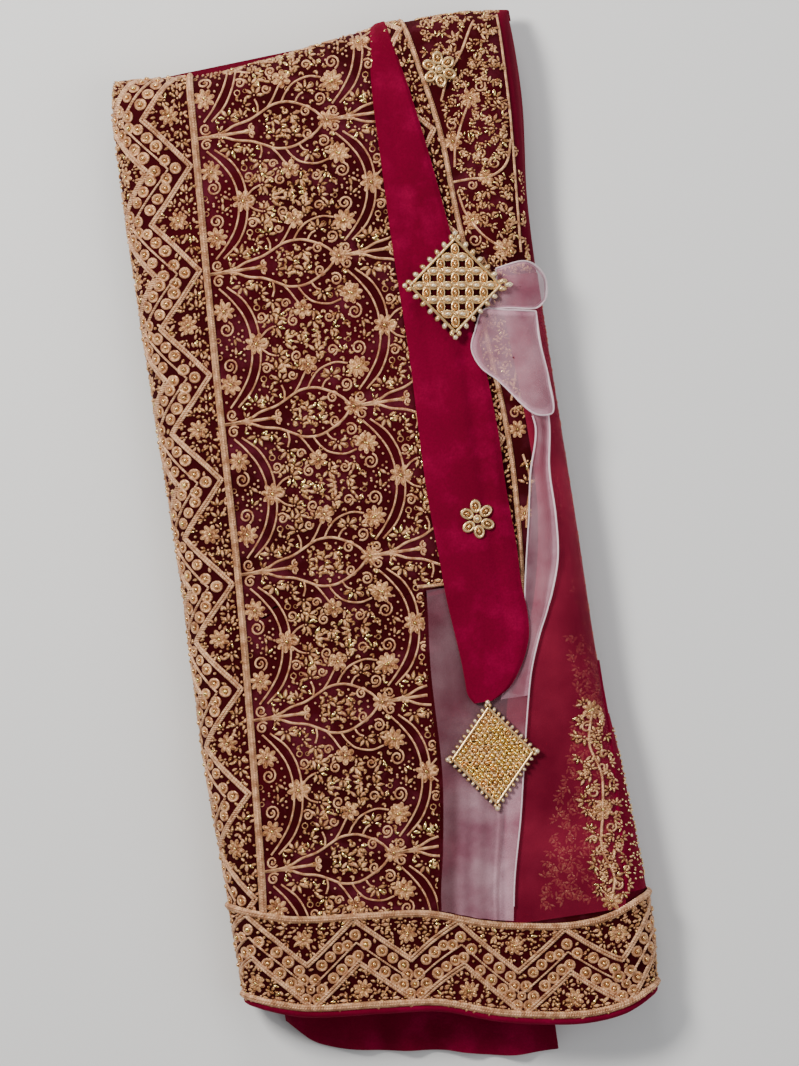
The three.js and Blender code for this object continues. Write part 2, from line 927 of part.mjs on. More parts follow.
const finishes = {
  panel: { color: clothColors.panel, roughness: 0.85, metalness: 0 },
  crimson: { color: clothColors.crimson, roughness: 0.8, metalness: 0 },
  fold: { color: clothColors.fold, roughness: 0.85, metalness: 0 },
  gold: { color: clothColors.gold, roughness: 0.45, metalness: 0.6 },
  net: { color: clothColors.net, roughness: 0.7, metalness: 0 },
  organza: { color: clothColors.organza, roughness: 0.4, metalness: 0 },
}

const pieces = [
  ['folded_layers', 'fold', foldedLayers()],
  ['front_panel', 'panel', frontPanel()],
  ['panel_tab', 'panel', panelTab()],
  ['tab_cord', 'gold', tabCord()],
  ['side_border', 'gold', sideBorder()],
  ['panel_cord', 'gold', cordAlong(cordLine, row.aboveHem, cordWidth / 2 + gap, cordWidth / 2 + 1)],
  ['right_panel', 'panel', rightPanel()],
  ['right_border', 'gold', rightBorder()],
  ['right_cord', 'gold', cordAlong(rightCordLine, row.tab, 0, -10)],
  ['right_fold', 'fold', rightFold()],
  ['edge_strip', 'gold', edgeStrip()],
  ['net_overlay', 'net', netOverlay()],
  ['net_binding', 'crimson', netBinding()],
  ['hem_border', 'gold', hemBorder()],
  ['hem_cord_upper', 'gold', hemCord(hemWidth)],
  ['hem_cord_lower', 'gold', hemCord(cordWidth / 2)],
  ['hem_piping', 'crimson', hemPiping()],
  ['under_hem', 'crimson', underHemLayer()],
  ['velvet_sash', 'crimson', velvetSash()],
  ['organza_spread', 'organza', organzaSpread()],
  ['organza_tail', 'organza', organzaTail()],
  ['organza_loop', 'organza', organzaLoop()],
  ['organza_lobe', 'organza', organzaLobe()],
  ['ornament_upper', 'gold', ornament(upperDiamond, upperOrnamentLift)],
  ['ornament_lower', 'gold', ornament(lowerDiamond, sashLift)],
  ['flower_upper', 'gold', flower(upperFlower, organzaLift + cordHeight)],
  ['flower_lower', 'gold', flower(lowerFlower, sashTop)],
]

const skirt = new THREE.Group()
for (const [name, finish, geometry] of pieces) {
  geometry.computeVertexNormals()
  const material = new THREE.MeshStandardMaterial(finishes[finish])
  const piece = new THREE.Mesh(geometry, material)
  piece.name = name
  skirt.add(piece)
}

export default skirt
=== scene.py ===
# A velvet lehenga skirt, folded in half and lying flat: cloth shells, thread work, ribbon and ornaments.
import math

import bpy
import numpy as np
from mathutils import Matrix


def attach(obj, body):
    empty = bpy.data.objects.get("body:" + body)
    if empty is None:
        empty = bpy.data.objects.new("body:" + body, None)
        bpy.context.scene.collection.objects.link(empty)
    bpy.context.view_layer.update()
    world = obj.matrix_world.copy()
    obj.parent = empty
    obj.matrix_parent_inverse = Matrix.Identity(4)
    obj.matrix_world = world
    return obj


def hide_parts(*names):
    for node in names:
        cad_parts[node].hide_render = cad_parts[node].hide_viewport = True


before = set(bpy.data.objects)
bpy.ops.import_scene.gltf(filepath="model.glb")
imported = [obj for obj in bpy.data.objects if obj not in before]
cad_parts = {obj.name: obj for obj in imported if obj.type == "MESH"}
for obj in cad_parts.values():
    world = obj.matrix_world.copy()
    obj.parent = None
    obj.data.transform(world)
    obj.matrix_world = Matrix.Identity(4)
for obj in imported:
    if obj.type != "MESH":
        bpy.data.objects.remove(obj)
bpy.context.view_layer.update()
random = np.random.default_rng(7)
mm = 0.001


def clearSelection():
    bpy.ops.object.select_all(action="DESELECT")


print("stage: the camera and the light")
view = {"lens": 200, "roll": -8.4, "x": 8.8, "y": 7.2, "height": 3287}
clearSelection()
bpy.ops.object.camera_add(
    location=(view["x"] * mm, view["y"] * mm, view["height"] * mm),
    rotation=(0, 0, math.radians(view["roll"])),
)
camera = bpy.context.object
camera.data.lens = view["lens"]
bpy.context.scene.camera = camera

lamps = {
    "key": {"place": (-0.75, 0.75, 1.35), "size": 0.42, "power": 31, "tint": (1, 0.97, 0.93)},
    "fill": {"place": (0.95, -0.3, 1.2), "size": 1.2, "power": 8, "tint": (0.95, 0.97, 1)},
    "rim": {"place": (0.1, 1.3, 0.7), "size": 0.5, "power": 7, "tint": (1, 1, 1)},
}
for name, lamp in lamps.items():
    bpy.ops.object.light_add(type="AREA", location=lamp["place"])
    light = bpy.context.object
    light.name = name
    light.data.size = lamp["size"]
    light.data.energy = lamp["power"]
    light.data.color = lamp["tint"]
    aim = -np.array(lamp["place"])
    light.rotation_euler = (
        math.atan2(math.hypot(aim[0], aim[1]), -aim[2]),
        0,
        math.atan2(aim[1], aim[0]) - math.pi / 2,
    )
sky = {"tint": (0.9, 0.9, 0.92, 1), "strength": 0.31}
world = bpy.data.worlds.new("studio")
world.use_nodes = True
world.node_tree.nodes["Background"].inputs[0].default_value = sky["tint"]
world.node_tree.nodes["Background"].inputs[1].default_value = sky["strength"]
bpy.context.scene.world = world


class Wire:
    # A socket that adds maths nodes when it is used in an expression

    def __init__(self, paint, socket):
        self.paint = paint
        self.socket = socket

    def maths(self, operation, first, second):
        return self.paint.node("ShaderNodeMath", {"operation": operation}, {0: first, 1: second})

    def __add__(self, other):
        return self.maths("ADD", self, other)

    def __sub__(self, other):
        return self.maths("SUBTRACT", self, other)

    def __mul__(self, other):
        return self.maths("MULTIPLY", self, other)

    def __rsub__(self, other):
        return self.maths("SUBTRACT", other, self)

    __radd__ = __add__
    __rmul__ = __mul__


class Paint:
    def __init__(self, name):
        self.material = bpy.data.materials.new(name)
        self.material.use_nodes = True
        self.tree = self.material.node_tree
        self.tree.nodes.clear()

    def node(self, kind, settings=None, inputs=None, output=0):
        made = self.tree.nodes.new(kind)
        for key, value in (settings or {}).items():
            if key == "stops":
                ramp = made.color_ramp
                while len(ramp.elements) < len(value):
                    ramp.elements.new(0.5)
                for element, (place, colour) in zip(ramp.elements, value):
                    element.position = place
                    element.color = colour
            else:
                setattr(made, key, value)
        for key, value in (inputs or {}).items():
            socket = made.inputs[key]
            if isinstance(value, Wire):
                self.tree.links.new(value.socket, socket)
            else:
                socket.default_value = value
        return Wire(self, made.outputs[output]) if made.outputs else None

    def mix(self, share, first, second):
        settings = {"data_type": "RGBA"}
        return self.node("ShaderNodeMix", settings, {0: share, 6: first, 7: second}, 2)

    def noise(self, place, scale, detail=3.0, rough=0.55):
        inputs = {"Vector": place, "Scale": scale, "Detail": detail, "Roughness": rough}
        return self.node("ShaderNodeTexNoise", {}, inputs)

    def place(self):
        return self.node("ShaderNodeTexCoord", {}, {}, 3)

    def bump(self, height, strength, distance):
        inputs = {"Height": height, "Strength": strength, "Distance": distance}
        return self.node("ShaderNodeBump", {}, inputs)

    def finish(self, inputs):
        surface = self.node("ShaderNodeBsdfPrincipled", {}, inputs)
        self.node("ShaderNodeOutputMaterial", {}, {0: surface})
        return self.material


def soft(value):
    return (*value, 1)


def velvet(name, low, high, sheen=0.25, sheenMottle=None, tint=(1, 0.02, 0.1), crushSheenScale=14):
    paint = Paint(name)
    place = paint.place()
    # Broad noise blends low into high: lighter patches where the pile is crushed, painted in as sheen
    broad = paint.noise(place, crushSheenScale, 3, 0.6)
    nap = paint.noise(place, 900, 2)
    sheenSweep = paint.node("ShaderNodeMapRange", {}, {0: broad, 1: 0.36, 2: 0.68})
    colour = paint.mix(sheenSweep, soft(low), soft(high))
    # Lighter mottled patches in the given colour, a painted sheen on the pile
    if sheenMottle:
        cloud = paint.noise(place, 55, 4, 0.6)
        sheenPatch = paint.node("ShaderNodeMapRange", {}, {0: cloud, 1: 0.5, 2: 0.72})
        colour = paint.mix(sheenPatch * 0.6, colour, soft(sheenMottle))
    grain = paint.node("ShaderNodeMapRange", {}, {0: nap, 1: 0.3, 2: 0.7})
    colour = paint.mix(grain * 0.35, colour, soft([c * 0.55 for c in low]))
    return paint.finish(
        {
            "Base Color": colour,
            "Roughness": 0.85,
            "Sheen Weight": sheen,
            "Sheen Roughness": 0.4,
            "Sheen Tint": soft(tint),
            "Specular IOR Level": 0.06,
            "Normal": paint.bump(nap * 0.5 + broad * 0.5, 0.4, 0.0008),
        }
    )


def goldThread(name, low, high, metal=0.45, rough=0.42, twist=650, depth=0.5):
    paint = Paint(name)
    place = paint.place()
    lay = paint.node("ShaderNodeAttribute", {"attribute_name": "thread"}, {}, 1)
    strand = paint.node(
        "ShaderNodeTexWave",
        {"wave_type": "BANDS", "bands_direction": "DIAGONAL"},
        {"Vector": lay, "Scale": twist, "Distortion": 1.5, "Detail": 1},
    )
    # Noise blends a dark and a bright gold: the thread's tone changes at random, and its bright end is
    # partly a painted highlight
    worn = paint.noise(place, 260, 3)
    shade = paint.node("ShaderNodeMapRange", {}, {0: worn, 1: 0.36, 2: 0.64})
    colour = paint.mix(shade, soft(low), soft(high))
    colour = paint.mix(strand * 0.4, colour, soft([c * 0.5 for c in low]))
    return paint.finish(
        {
            "Base Color": colour,
            "Metallic": metal,
            "Roughness": paint.node("ShaderNodeMapRange", {}, {0: worn, 3: rough - 0.1, 4: rough + 0.15}),
            "Normal": paint.bump(strand, depth, 0.0005),
        }
    )


def polished(name, colour, rough=0.16, metal=1.0):
    paint = Paint(name)
    place = paint.place()
    hammer = paint.noise(place, 420, 2)
    tone = paint.mix(paint.noise(place, 90, 2), soft([c * 0.72 for c in colour]), soft(colour))
    return paint.finish(
        {
            "Base Color": tone,
            "Metallic": metal,
            "Roughness": rough,
            "Normal": paint.bump(hammer, 0.4, 0.0004),
        }
    )


def sheer(name, low, high, alphaLow, alphaHigh, grain=1500, cloudSize=22):
    paint = Paint(name)
    place = paint.place()
    weave = paint.noise(place, grain, 1)
    cloud = paint.noise(place, cloudSize, 3)
    spread = paint.node("ShaderNodeMapRange", {}, {0: cloud, 1: 0.35, 2: 0.65})
    cover = paint.node("ShaderNodeAttribute", {"attribute_name": "cover"}, {}, 2)
    alpha = paint.node("ShaderNodeMapRange", {}, {0: cover, 3: alphaLow, 4: alphaHigh})
    return paint.finish(
        {
            "Base Color": paint.mix(spread, soft(low), soft(high)),
            "Roughness": 0.7,
            "Specular IOR Level": 0.1,
            "Alpha": alpha * (weave * 0.5 + 0.75),
            "Normal": paint.bump(cloud, 0.2, 0.001),
        }
    )


print("stage: finishes")
finishes = {
    # The velvets' high colours, and the panel and crimson velvets' mottle colours, are painted sheen on
    # the pile
    "panelVelvet": velvet("panelVelvet", (0.028, 0.0003, 0.0012), (0.055, 0.0006, 0.004), 0.05,
        (0.12, 0.014, 0.03)),
    "borderVelvet": velvet("borderVelvet", (0.026, 0.0003, 0.0012), (0.045, 0.0006, 0.003), 0.04),
    "crimsonVelvet": velvet("crimsonVelvet", (0.125, 0.0004, 0.013), (0.18, 0.0008, 0.022), 0.16,
        (0.27, 0.002, 0.04)),
    "foldVelvet": velvet("foldVelvet", (0.075, 0.0006, 0.008), (0.13, 0.0015, 0.016), 0.14),
    # The high colours of the gold threads are partly a painted highlight
    "thread": goldThread("thread", (0.44, 0.18, 0.08), (1, 0.57, 0.3), 0.4, 0.34),
    "cord": goldThread("cord", (0.5, 0.23, 0.11), (1, 0.6, 0.34), 0.3, 0.4, 420, 0.8),
    "dimThread": goldThread("dimThread", (0.4, 0.1, 0.055), (0.6, 0.2, 0.11), 0.15, 0.6),
    "petal": goldThread("petal", (0.4, 0.17, 0.06), (1, 0.6, 0.28), 0.65, 0.28),
    "glint": polished("glint", (1, 0.74, 0.28), 0.1),
    "stone": polished("stone", (0.85, 0.5, 0.22), 0.1, 0.95),
    "paleGold": polished("paleGold", (0.95, 0.66, 0.33), 0.24, 0.8),
    "pearl": polished("pearl", (1, 0.8, 0.52), 0.2, 0.65),
    "net": sheer("net", (0.19, 0.003, 0.024), (0.34, 0.016, 0.05), 0.22, 0.68),
    "organza": sheer("organza", (0.46, 0.19, 0.26), (0.8, 0.48, 0.56), 0.02, 0.6, 1200, 40),
    "organzaHem": sheer("organzaHem", (0.78, 0.58, 0.64), (0.85, 0.68, 0.72), 0.85, 0.9),
}

# The cloth's own map, in millimetres: across from the middle, along from hem to top fold

skirt = {
    "height": 40,
    "radius": 20,
    "worn": 3.05,
    "crown": 3,
    "crownReach": 125,
    "hemWidth": 51,
    "hemReach": 134,  # how far the hem pieces go to each side
    "turnUnder": 135,  # how far the cloths go round an edge, in degrees
    "leftEdge": {"at": (-262, -190, -100, 0, 110, 245, 290),
        "value": (-112.8, -114, -116.6, -114.7, -115.6, -115.2, -111)},
    "rightEdge": {
        "at": (-262, -225, -180, -134, -88, 0, 120, 180, 235, 290),
        "value": (112.6, 115.6, 114.2, 111.6, 107.8, 107.2, 106, 107, 111.6, 111),
    },
    "topEdge": {"at": (-116, -65, -28, 17, 40, 84, 112),
        "value": (278, 273.8, 277, 283.6, 286.6, 287.8, 285)},
    "hemLine": {
        "at": (-150, -113, -81, -38, -7, 24, 56, 74, 92, 112, 150),
        "value": (-231, -234.5, -244.6, -248.8, -252.2, -262.4, -268.8, -270.3, -268.4, -261.4, -256),
    },
}
lines = {
    "cord": {"at": (-262, -187, -103, 0, 84, 163, 236, 330),
        "value": (-104, -95.6, -89.2, -82.6, -79.4, -75.6, -71.4, -67)},
    "seam": {"at": (-280, -198, -166, -126, -70, -25, 60, 330),
        "value": (-2, 0.7, 6.4, 11.8, 13.8, 17.8, 21, 27)},
    "fold": {"at": (-280, -120, -60, 100, 152, 221, 330), "value": (100, 101, 97, 97, 98.6, 103.2, 105)},
    "rightCord": {"at": (-40, 12, 50, 90, 176, 224, 280, 330),
        "value": (70.6, 74.5, 75.4, 73, 65.3, 62.5, 52.4, 44)},
    "binding": {"at": (-215, -178, -154, -117, -78), "value": (102.4, 103.9, 105.2, 108.8, 111.2)},
    "sashLeft": {
        "at": (-91, -86, -78, -68, -58, -45, -30, -8, 22, 56, 100, 168, 209, 246, 287, 330),
        "value": (35.5, 32.8, 32.4, 32, 31.2, 30, 28.8, 28.2, 26.9, 27.2, 28.2, 27.8, 28.4, 29, 32.2, 33),
    },
    "sashRight": {
        "at": (-91, -86, -78, -68, -58, -45, -30, -8, 22, 56, 100, 168, 209, 246, 287, 330),
        "value": (46, 55, 61.8, 67.4, 70.8, 71.8, 70.8, 71.2, 70.1, 70.3, 67.6, 60.2, 55.2, 49.6, 42.4,
            42),
    },
    "tailLeft": {
        "at": (-215, -188, -156, -125, -92, -76, -58, -48, -38, -18, 5, 30, 52, 66),
        "value": (32, 33, 40, 46, 50, 58, 67, 70, 71.4, 75.2, 80, 84.5, 89.5, 88),
    },
    "tailRight": {
        "at": (-215, -188, -156, -125, -92, -76, -58, -48, -38, -18, 5, 30, 52, 66),
        "value": (39, 43.8, 51.8, 58.3, 65.6, 69.9, 77, 81.9, 85.9, 91.2, 93, 93.2, 96.4, 97),
    },
    "netLeft": {"at": (-220, -92, -40, 20, 140), "value": (34, 54, 76, 86, 82)},
}


def readTable(table, at):
    keys = np.array(table["at"], float)
    values = np.array(table["value"], float)
    at = np.clip(np.asarray(at, float), keys[0], keys[-1])
    k = np.clip(np.searchsorted(keys, at, "right") - 1, 0, len(keys) - 2)
    span = keys[k + 1] - keys[k]
    t = (at - keys[k]) / span
    before, after = np.maximum(k - 1, 0), np.minimum(k + 2, len(keys) - 1)
    start = (values[k + 1] - values[before]) / (keys[k + 1] - keys[before]) * span
    end = (values[after] - values[k]) / (keys[after] - keys[k]) * span
    return (
        (2 * t**3 - 3 * t**2 + 1) * values[k]
        + (t**3 - 2 * t**2 + t) * start
        + (3 * t**2 - 2 * t**3) * values[k + 1]
        + (t**3 - t**2) * end
    )


def smoothStep(value, low, high):
    t = np.clip((value - low) / (high - low), 0, 1)
    return t * t * (3 - 2 * t)


def hemAt(across):
    return readTable(skirt["hemLine"], across)


def flatLeft(along):
    return readTable(skirt["leftEdge"], along) + skirt["worn"] + skirt["radius"]


def flatRight(along):
    return readTable(skirt["rightEdge"], along) - skirt["worn"] - skirt["radius"]


def planAcross(across, along):
    radius = skirt["radius"]
    left, right = flatLeft(along), flatRight(along)
    turned = left - radius * np.sin(np.maximum(left - across, 0) / radius)
    turnedRight = right + radius * np.sin(np.maximum(across - right, 0) / radius)
    return np.where(across < left, turned, np.where(across > right, turnedRight, across))


def flatTop(across):
    plan = planAcross(across, np.full_like(np.asarray(across, float), 260.0))
    return readTable(skirt["topEdge"], plan) - skirt["worn"] - skirt["radius"]


def topRise(x, y):
    dome = skirt["crown"] * (1 - (x / skirt["crownReach"]) ** 2)
    droop = 6 * smoothStep(-y, 170, 275)
    return dome + np.sin((y + 0.4 * x) * 2 * np.pi / 230 + 0.6) - droop


def surface(across, along, lift):
    across, along = np.asarray(across, float), np.asarray(along, float)
    radius = skirt["radius"]
    left, right, top = flatLeft(along), flatRight(along), flatTop(across)
    side = np.where(across < left, -1.0, 1.0)
    turnSide = np.maximum(np.maximum(left - across, across - right), 0) / radius
    turnTop = np.maximum(along - top, 0) / radius
    x = planAcross(across, along)
    y = np.minimum(along, top) + radius * np.sin(turnTop)
    facingSide, facingTop = np.cos(turnSide), np.cos(turnTop)
    both = np.where((facingSide < 0) & (facingTop < 0), -1.0, 1.0)
    facing = facingSide * facingTop * both
    rise = topRise(x, y) * np.maximum(0, facing)
    normal = np.stack([side * np.sin(turnSide), np.sin(turnTop), facing], -1)
    normal /= np.linalg.norm(normal, axis=-1, keepdims=True)
    point = np.stack([x, y, radius + radius * facing + rise], -1)
    return (point + normal * np.asarray(lift, float)[..., None]) * mm


def laidAt(lift):
    return lambda flat: surface(flat[:, 0], flat[:, 1], lift + flat[:, 2])


# Heights of the cloths above the folded layers
lifts = {
    "panel": 1.55,
    "belowNet": 1.5,
    "rightTrim": 2.6,
    "net": 3.0,
    "trim": 3.05,
    "sashLow": 4.05,
    "organza": 4.55,
    "knot": 7.6,
}
underReach = skirt["radius"] * math.radians(skirt["turnUnder"])


def setThread(mesh, values):
    attribute = mesh.attributes.new("thread", "FLOAT_VECTOR", "POINT")
    attribute.data.foreach_set("vector", values.astype(np.float32).ravel())


def readPoints(obj):
    found = np.empty(len(obj.data.vertices) * 3, np.float32)
    obj.data.vertices.foreach_get("co", found)
    return found.reshape(-1, 3).astype(float)


def movePoints(obj, points):
    obj.data.vertices.foreach_set("co", points.astype(np.float32).ravel())
    obj.data.update()


def applyModifier(obj, kind, **settings):
    modifier = obj.modifiers.new(kind.lower(), kind)
    for key, value in settings.items():
        setattr(modifier, key, value)
    bpy.context.view_layer.objects.active = obj
    bpy.ops.object.modifier_apply(modifier=modifier.name)


def gridPiece(name, columns, rows, shape, thickness, finish, nodes, cover=None):
    # A grid whose points go where shape(u, v) says, given a wall inwards
    clearSelection()
    bpy.ops.mesh.primitive_grid_add(x_subdivisions=columns, y_subdivisions=rows, size=1)
    obj = bpy.context.object
    obj.name = name
    share = readPoints(obj) + 0.5
    movePoints(obj, shape(share[:, 0], share[:, 1]))
    if cover is not None:
        values = cover(share[:, 0], share[:, 1]).astype(np.float32)
        obj.data.attributes.new("cover", "FLOAT", "POINT").data.foreach_set("value", values)
    if thickness:
        applyModifier(obj, "SOLIDIFY", thickness=thickness * mm, offset=-1)
    clearSelection()
    obj.select_set(True)
    bpy.ops.object.shade_smooth_by_angle(angle=math.radians(50))
    obj.data.materials.clear()
    obj.data.materials.append(finishes[finish])
    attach(obj, "root")
    if nodes:
        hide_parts(*nodes)
    return obj


def creaseLift(across, along, creases):
    # Soft troughs and ridges, from x0, y0 to x1, y1
    total = np.zeros_like(across)
    for x0, y0, x1, y1, width, rise, bow in creases:
        length = math.hypot(x1 - x0, y1 - y0)
        run = ((across - x0) * (x1 - x0) + (along - y0) * (y1 - y0)) / length
        off = ((across - x0) * (y1 - y0) - (along - y0) * (x1 - x0)) / length
        bowed = bow * np.sin(np.pi * np.clip(run / length, 0, 1))
        begins = smoothStep(run, -0.15 * length, 0.2 * length)
        ends = begins * (1 - smoothStep(run, 0.8 * length, 1.15 * length))
        total += rise * np.exp(-(((off - bowed) / width) ** 2)) * ends
    return total


# x0, y0, x1, y1, width, rise, bow
panelCreases = [
    (-60, 262, -48, 60, 9, 0.5, 4),
    (-10, 270, -2, 120, 8, -0.5, -5),
    (-30, 90, -20, -120, 10, 0.6, 5),
    (-66, -20, -58, -190, 9, -0.5, 3),
    (8, 60, -4, -80, 7, -0.6, 3),
]


def panelLiftAt(across, along):
    middle = smoothStep(across, -95, -70) * (1 - smoothStep(across, 10, 40))
    flat = middle * (1 - smoothStep(along, 240, 262))
    return creaseLift(across, along, panelCreases) * flat


def tucked(across):
    return flatTop(across) + underReach


def alongCloth(across, share):
    foot = hemAt(across)
    return foot + (tucked(across) - foot) * share


print("stage: the velvet")


def frontShape(u, v):
    along0 = -260 + v * 570
    left = flatLeft(along0) - underReach
    right = np.where(along0 > -25, 40.0, readTable(lines["seam"], along0))
    across = left + (right - left) * u
    along = alongCloth(across, v)
    right = np.where(along > -25.5, 40.0, readTable(lines["seam"], along))
    across = left + (right - left) * u
    return surface(across, along, lifts["panel"] + panelLiftAt(across, along))


frontPanel = gridPiece("front_panel_cloth", 60, 190, frontShape, 1.0, "panelVelvet",
    ["front_panel", "panel_tab"])


def rightShape(u, v):
    along0 = -266 + v * 590
    right = readTable(lines["fold"], along0) + 0.5
    left = np.where(along0 > -25, 39.0, readTable(lines["seam"], along0) - 1)
    across = left + (right - left) * u
    along = alongCloth(across, v)
    return surface(across, along, np.full_like(u, lifts["panel"] - 0.2))


rightPanel = gridPiece("right_panel_cloth", 40, 170, rightShape, 1.0, "panelVelvet",
    ["right_panel"])

foldCreases = [
    (104, 270, 101, 120, 3.5, -1.2, 1),
    (116, 250, 114, -60, 4, -1.4, 2),
]


def foldShape(u, v):
    along0 = -262 + v * 580
    left = readTable(lines["fold"], along0)
    right = flatRight(along0) + underReach
    across = left + (right - left) * u
    along = alongCloth(across, v)
    edge = smoothStep(along, -110, -60)
    roll = 0.8 * smoothStep(u, 0, 0.1) * edge
    return surface(across, along, lifts["panel"] + roll + creaseLift(across, along, foldCreases) * edge)


rightFold = gridPiece("right_fold_cloth", 40, 150, foldShape, 1.0, "foldVelvet",
    ["right_fold"])


def layersShape(u, v):
    # The folded layers as one closed roll: u goes all round, v from the hem to the top
    along0 = -250 + v * 500
    radius = skirt["radius"] - 0.8
    left, right = flatLeft(along0), flatRight(along0)
    width = right - left
    loop = 2 * width + 2 * np.pi * radius
    run = u * loop
    arc = np.pi * radius
    onTop = np.clip(run, 0, width)
    turnRight = np.clip((run - width) / radius, 0, np.pi)
    under = np.clip(run - width - arc, 0, width)
    turnLeft = np.clip((run - 2 * width - arc) / radius, 0, np.pi)
    x = left + onTop - under + radius * (np.sin(turnRight) - np.sin(turnLeft))
    z = np.where(turnLeft > 0, -radius * np.cos(turnLeft), radius * np.cos(turnRight))
    flatSide = np.abs(z) < radius * 0.985
    layer = 0.7 * np.cos((z / radius) * np.pi * 3.2) * (turnRight > 0) * flatSide
    x = x + layer * (1 - smoothStep(along0, 210, 240))
    top = flatTop(x)
    foot = hemAt(x) + 6
    along = foot + (top + radius * math.radians(80) - foot) * v
    turnTop = np.maximum(along - top, 0) / radius
    y = np.minimum(along, top) + radius * np.sin(turnTop)
    z = z * np.cos(turnTop)
    rise = topRise(x, y) * np.maximum(0, z / radius)
    return np.stack([x, y, skirt["radius"] + z + rise], -1) * mm


def endCap(obj):
    clearSelection()
    obj.select_set(True)
    bpy.context.view_layer.objects.active = obj
    bpy.ops.object.mode_set(mode="EDIT")
    bpy.ops.mesh.select_all(action="SELECT")
    bpy.ops.mesh.remove_doubles(threshold=0.00002)
    bpy.ops.mesh.select_all(action="DESELECT")
    bpy.ops.mesh.select_mode(type="EDGE")
    bpy.ops.mesh.select_non_manifold()
    bpy.ops.mesh.fill()
    bpy.ops.mesh.select_all(action="SELECT")
    bpy.ops.mesh.normals_make_consistent(inside=False)
    bpy.ops.object.mode_set(mode="OBJECT")


foldedLayers = gridPiece("folded_layers_cloth", 110, 60, layersShape, 0, "foldVelvet",
    ["folded_layers"])
endCap(foldedLayers)

# The edges of the folded layers, seen at the hem end
layerEdge = {"levels": (9.5, 16.5, 23.5, 30.5), "left": -101, "length": 200, "inset": 7.2, "out": 3.4,
    "radius": 3.1}
for k, level in enumerate(layerEdge["levels"]):

    def rollShape(u, v, k=k, level=level):
        x = layerEdge["left"] + 3 * k + (layerEdge["length"] - 4 * k) * u
        turn = np.pi * v
        out = layerEdge["out"] + 0.8 * np.sin(x / 17 + 2 * k)
        wave = 0.9 * np.sin(x / 21 + 1.7 * k)
        y = hemAt(x) + layerEdge["inset"] - out * np.sin(turn)
        return np.stack([x, y, level + wave + layerEdge["radius"] * np.cos(turn)], -1) * mm

    finish = "foldVelvet" if k % 2 else "crimsonVelvet"
    roll = gridPiece(f"layer_edge_{k + 1}_cloth", 90, 8, rollShape, 0.7, finish, None)

# Motifs are modelled once, laid out flat on the cloth, and then wrapped over the skirt
print("stage: the motifs")


def runOf(path):
    # The distance along a path at each of its points
    return np.concatenate([[0], np.cumsum(np.linalg.norm(np.diff(path, axis=0), axis=1))])


def around(x, y, reach):
    return [(x + reach * math.cos(a), y + reach * math.sin(a)) for a in range(7)]


def meshArrays(obj):
    points = readPoints(obj)
    faces = [tuple(p.vertices) for p in obj.data.polygons]
    bpy.data.objects.remove(obj, do_unlink=True)
    return points, faces


def inOrder(points, faces):
    # Bisect leaves its own order, so corners and faces are sorted to be alike in every run
    order = np.lexsort(np.round(points, 5).T)
    rank = np.argsort(order)
    return points[order], sorted(tuple(int(rank[i]) for i in face) for face in faces)


def domeMotif(segments, rings, sharp=1.0):
    # A leaf or petal: a low dome, drawn to a point at its far end
    clearSelection()
    bpy.ops.mesh.primitive_uv_sphere_add(segments=segments, ring_count=rings, radius=1)
    obj = bpy.context.object
    bpy.ops.object.mode_set(mode="EDIT")
    bpy.ops.mesh.select_all(action="SELECT")
    bpy.ops.mesh.bisect(plane_co=(0, 0, -0.05), plane_no=(0, 0, -1), clear_outer=True)
    bpy.ops.object.mode_set(mode="OBJECT")
    points, faces = inOrder(*meshArrays(obj))
    points[:, 1] *= 1 - sharp * np.clip(points[:, 0], 0, 1) ** 2 * 0.75
    points[:, 2] = np.clip(points[:, 2], 0, 1)
    return points, faces


def ringMotif(segments, tube, around=5):
    clearSelection()
    bpy.ops.mesh.primitive_torus_add(
        major_segments=segments, minor_segments=around, major_radius=1 - tube, minor_radius=tube
    )
    points, faces = meshArrays(bpy.context.object)
    points[:, 2] += tube * 0.5
    return points, faces


def beadMotif():
    clearSelection()
    bpy.ops.mesh.primitive_ico_sphere_add(subdivisions=1, radius=1)
    points, faces = meshArrays(bpy.context.object)
    points[:, 2] += 0.6
    return points, faces


motifs = {
    "leaf": domeMotif(6, 4),
    "petal": domeMotif(8, 4, 0.2),
    "stone": domeMotif(8, 4, 0),
    "ring": ringMotif(12, 0.24),
    "thinRing": ringMotif(9, 0.18, 4),
    "bead": beadMotif(),
}


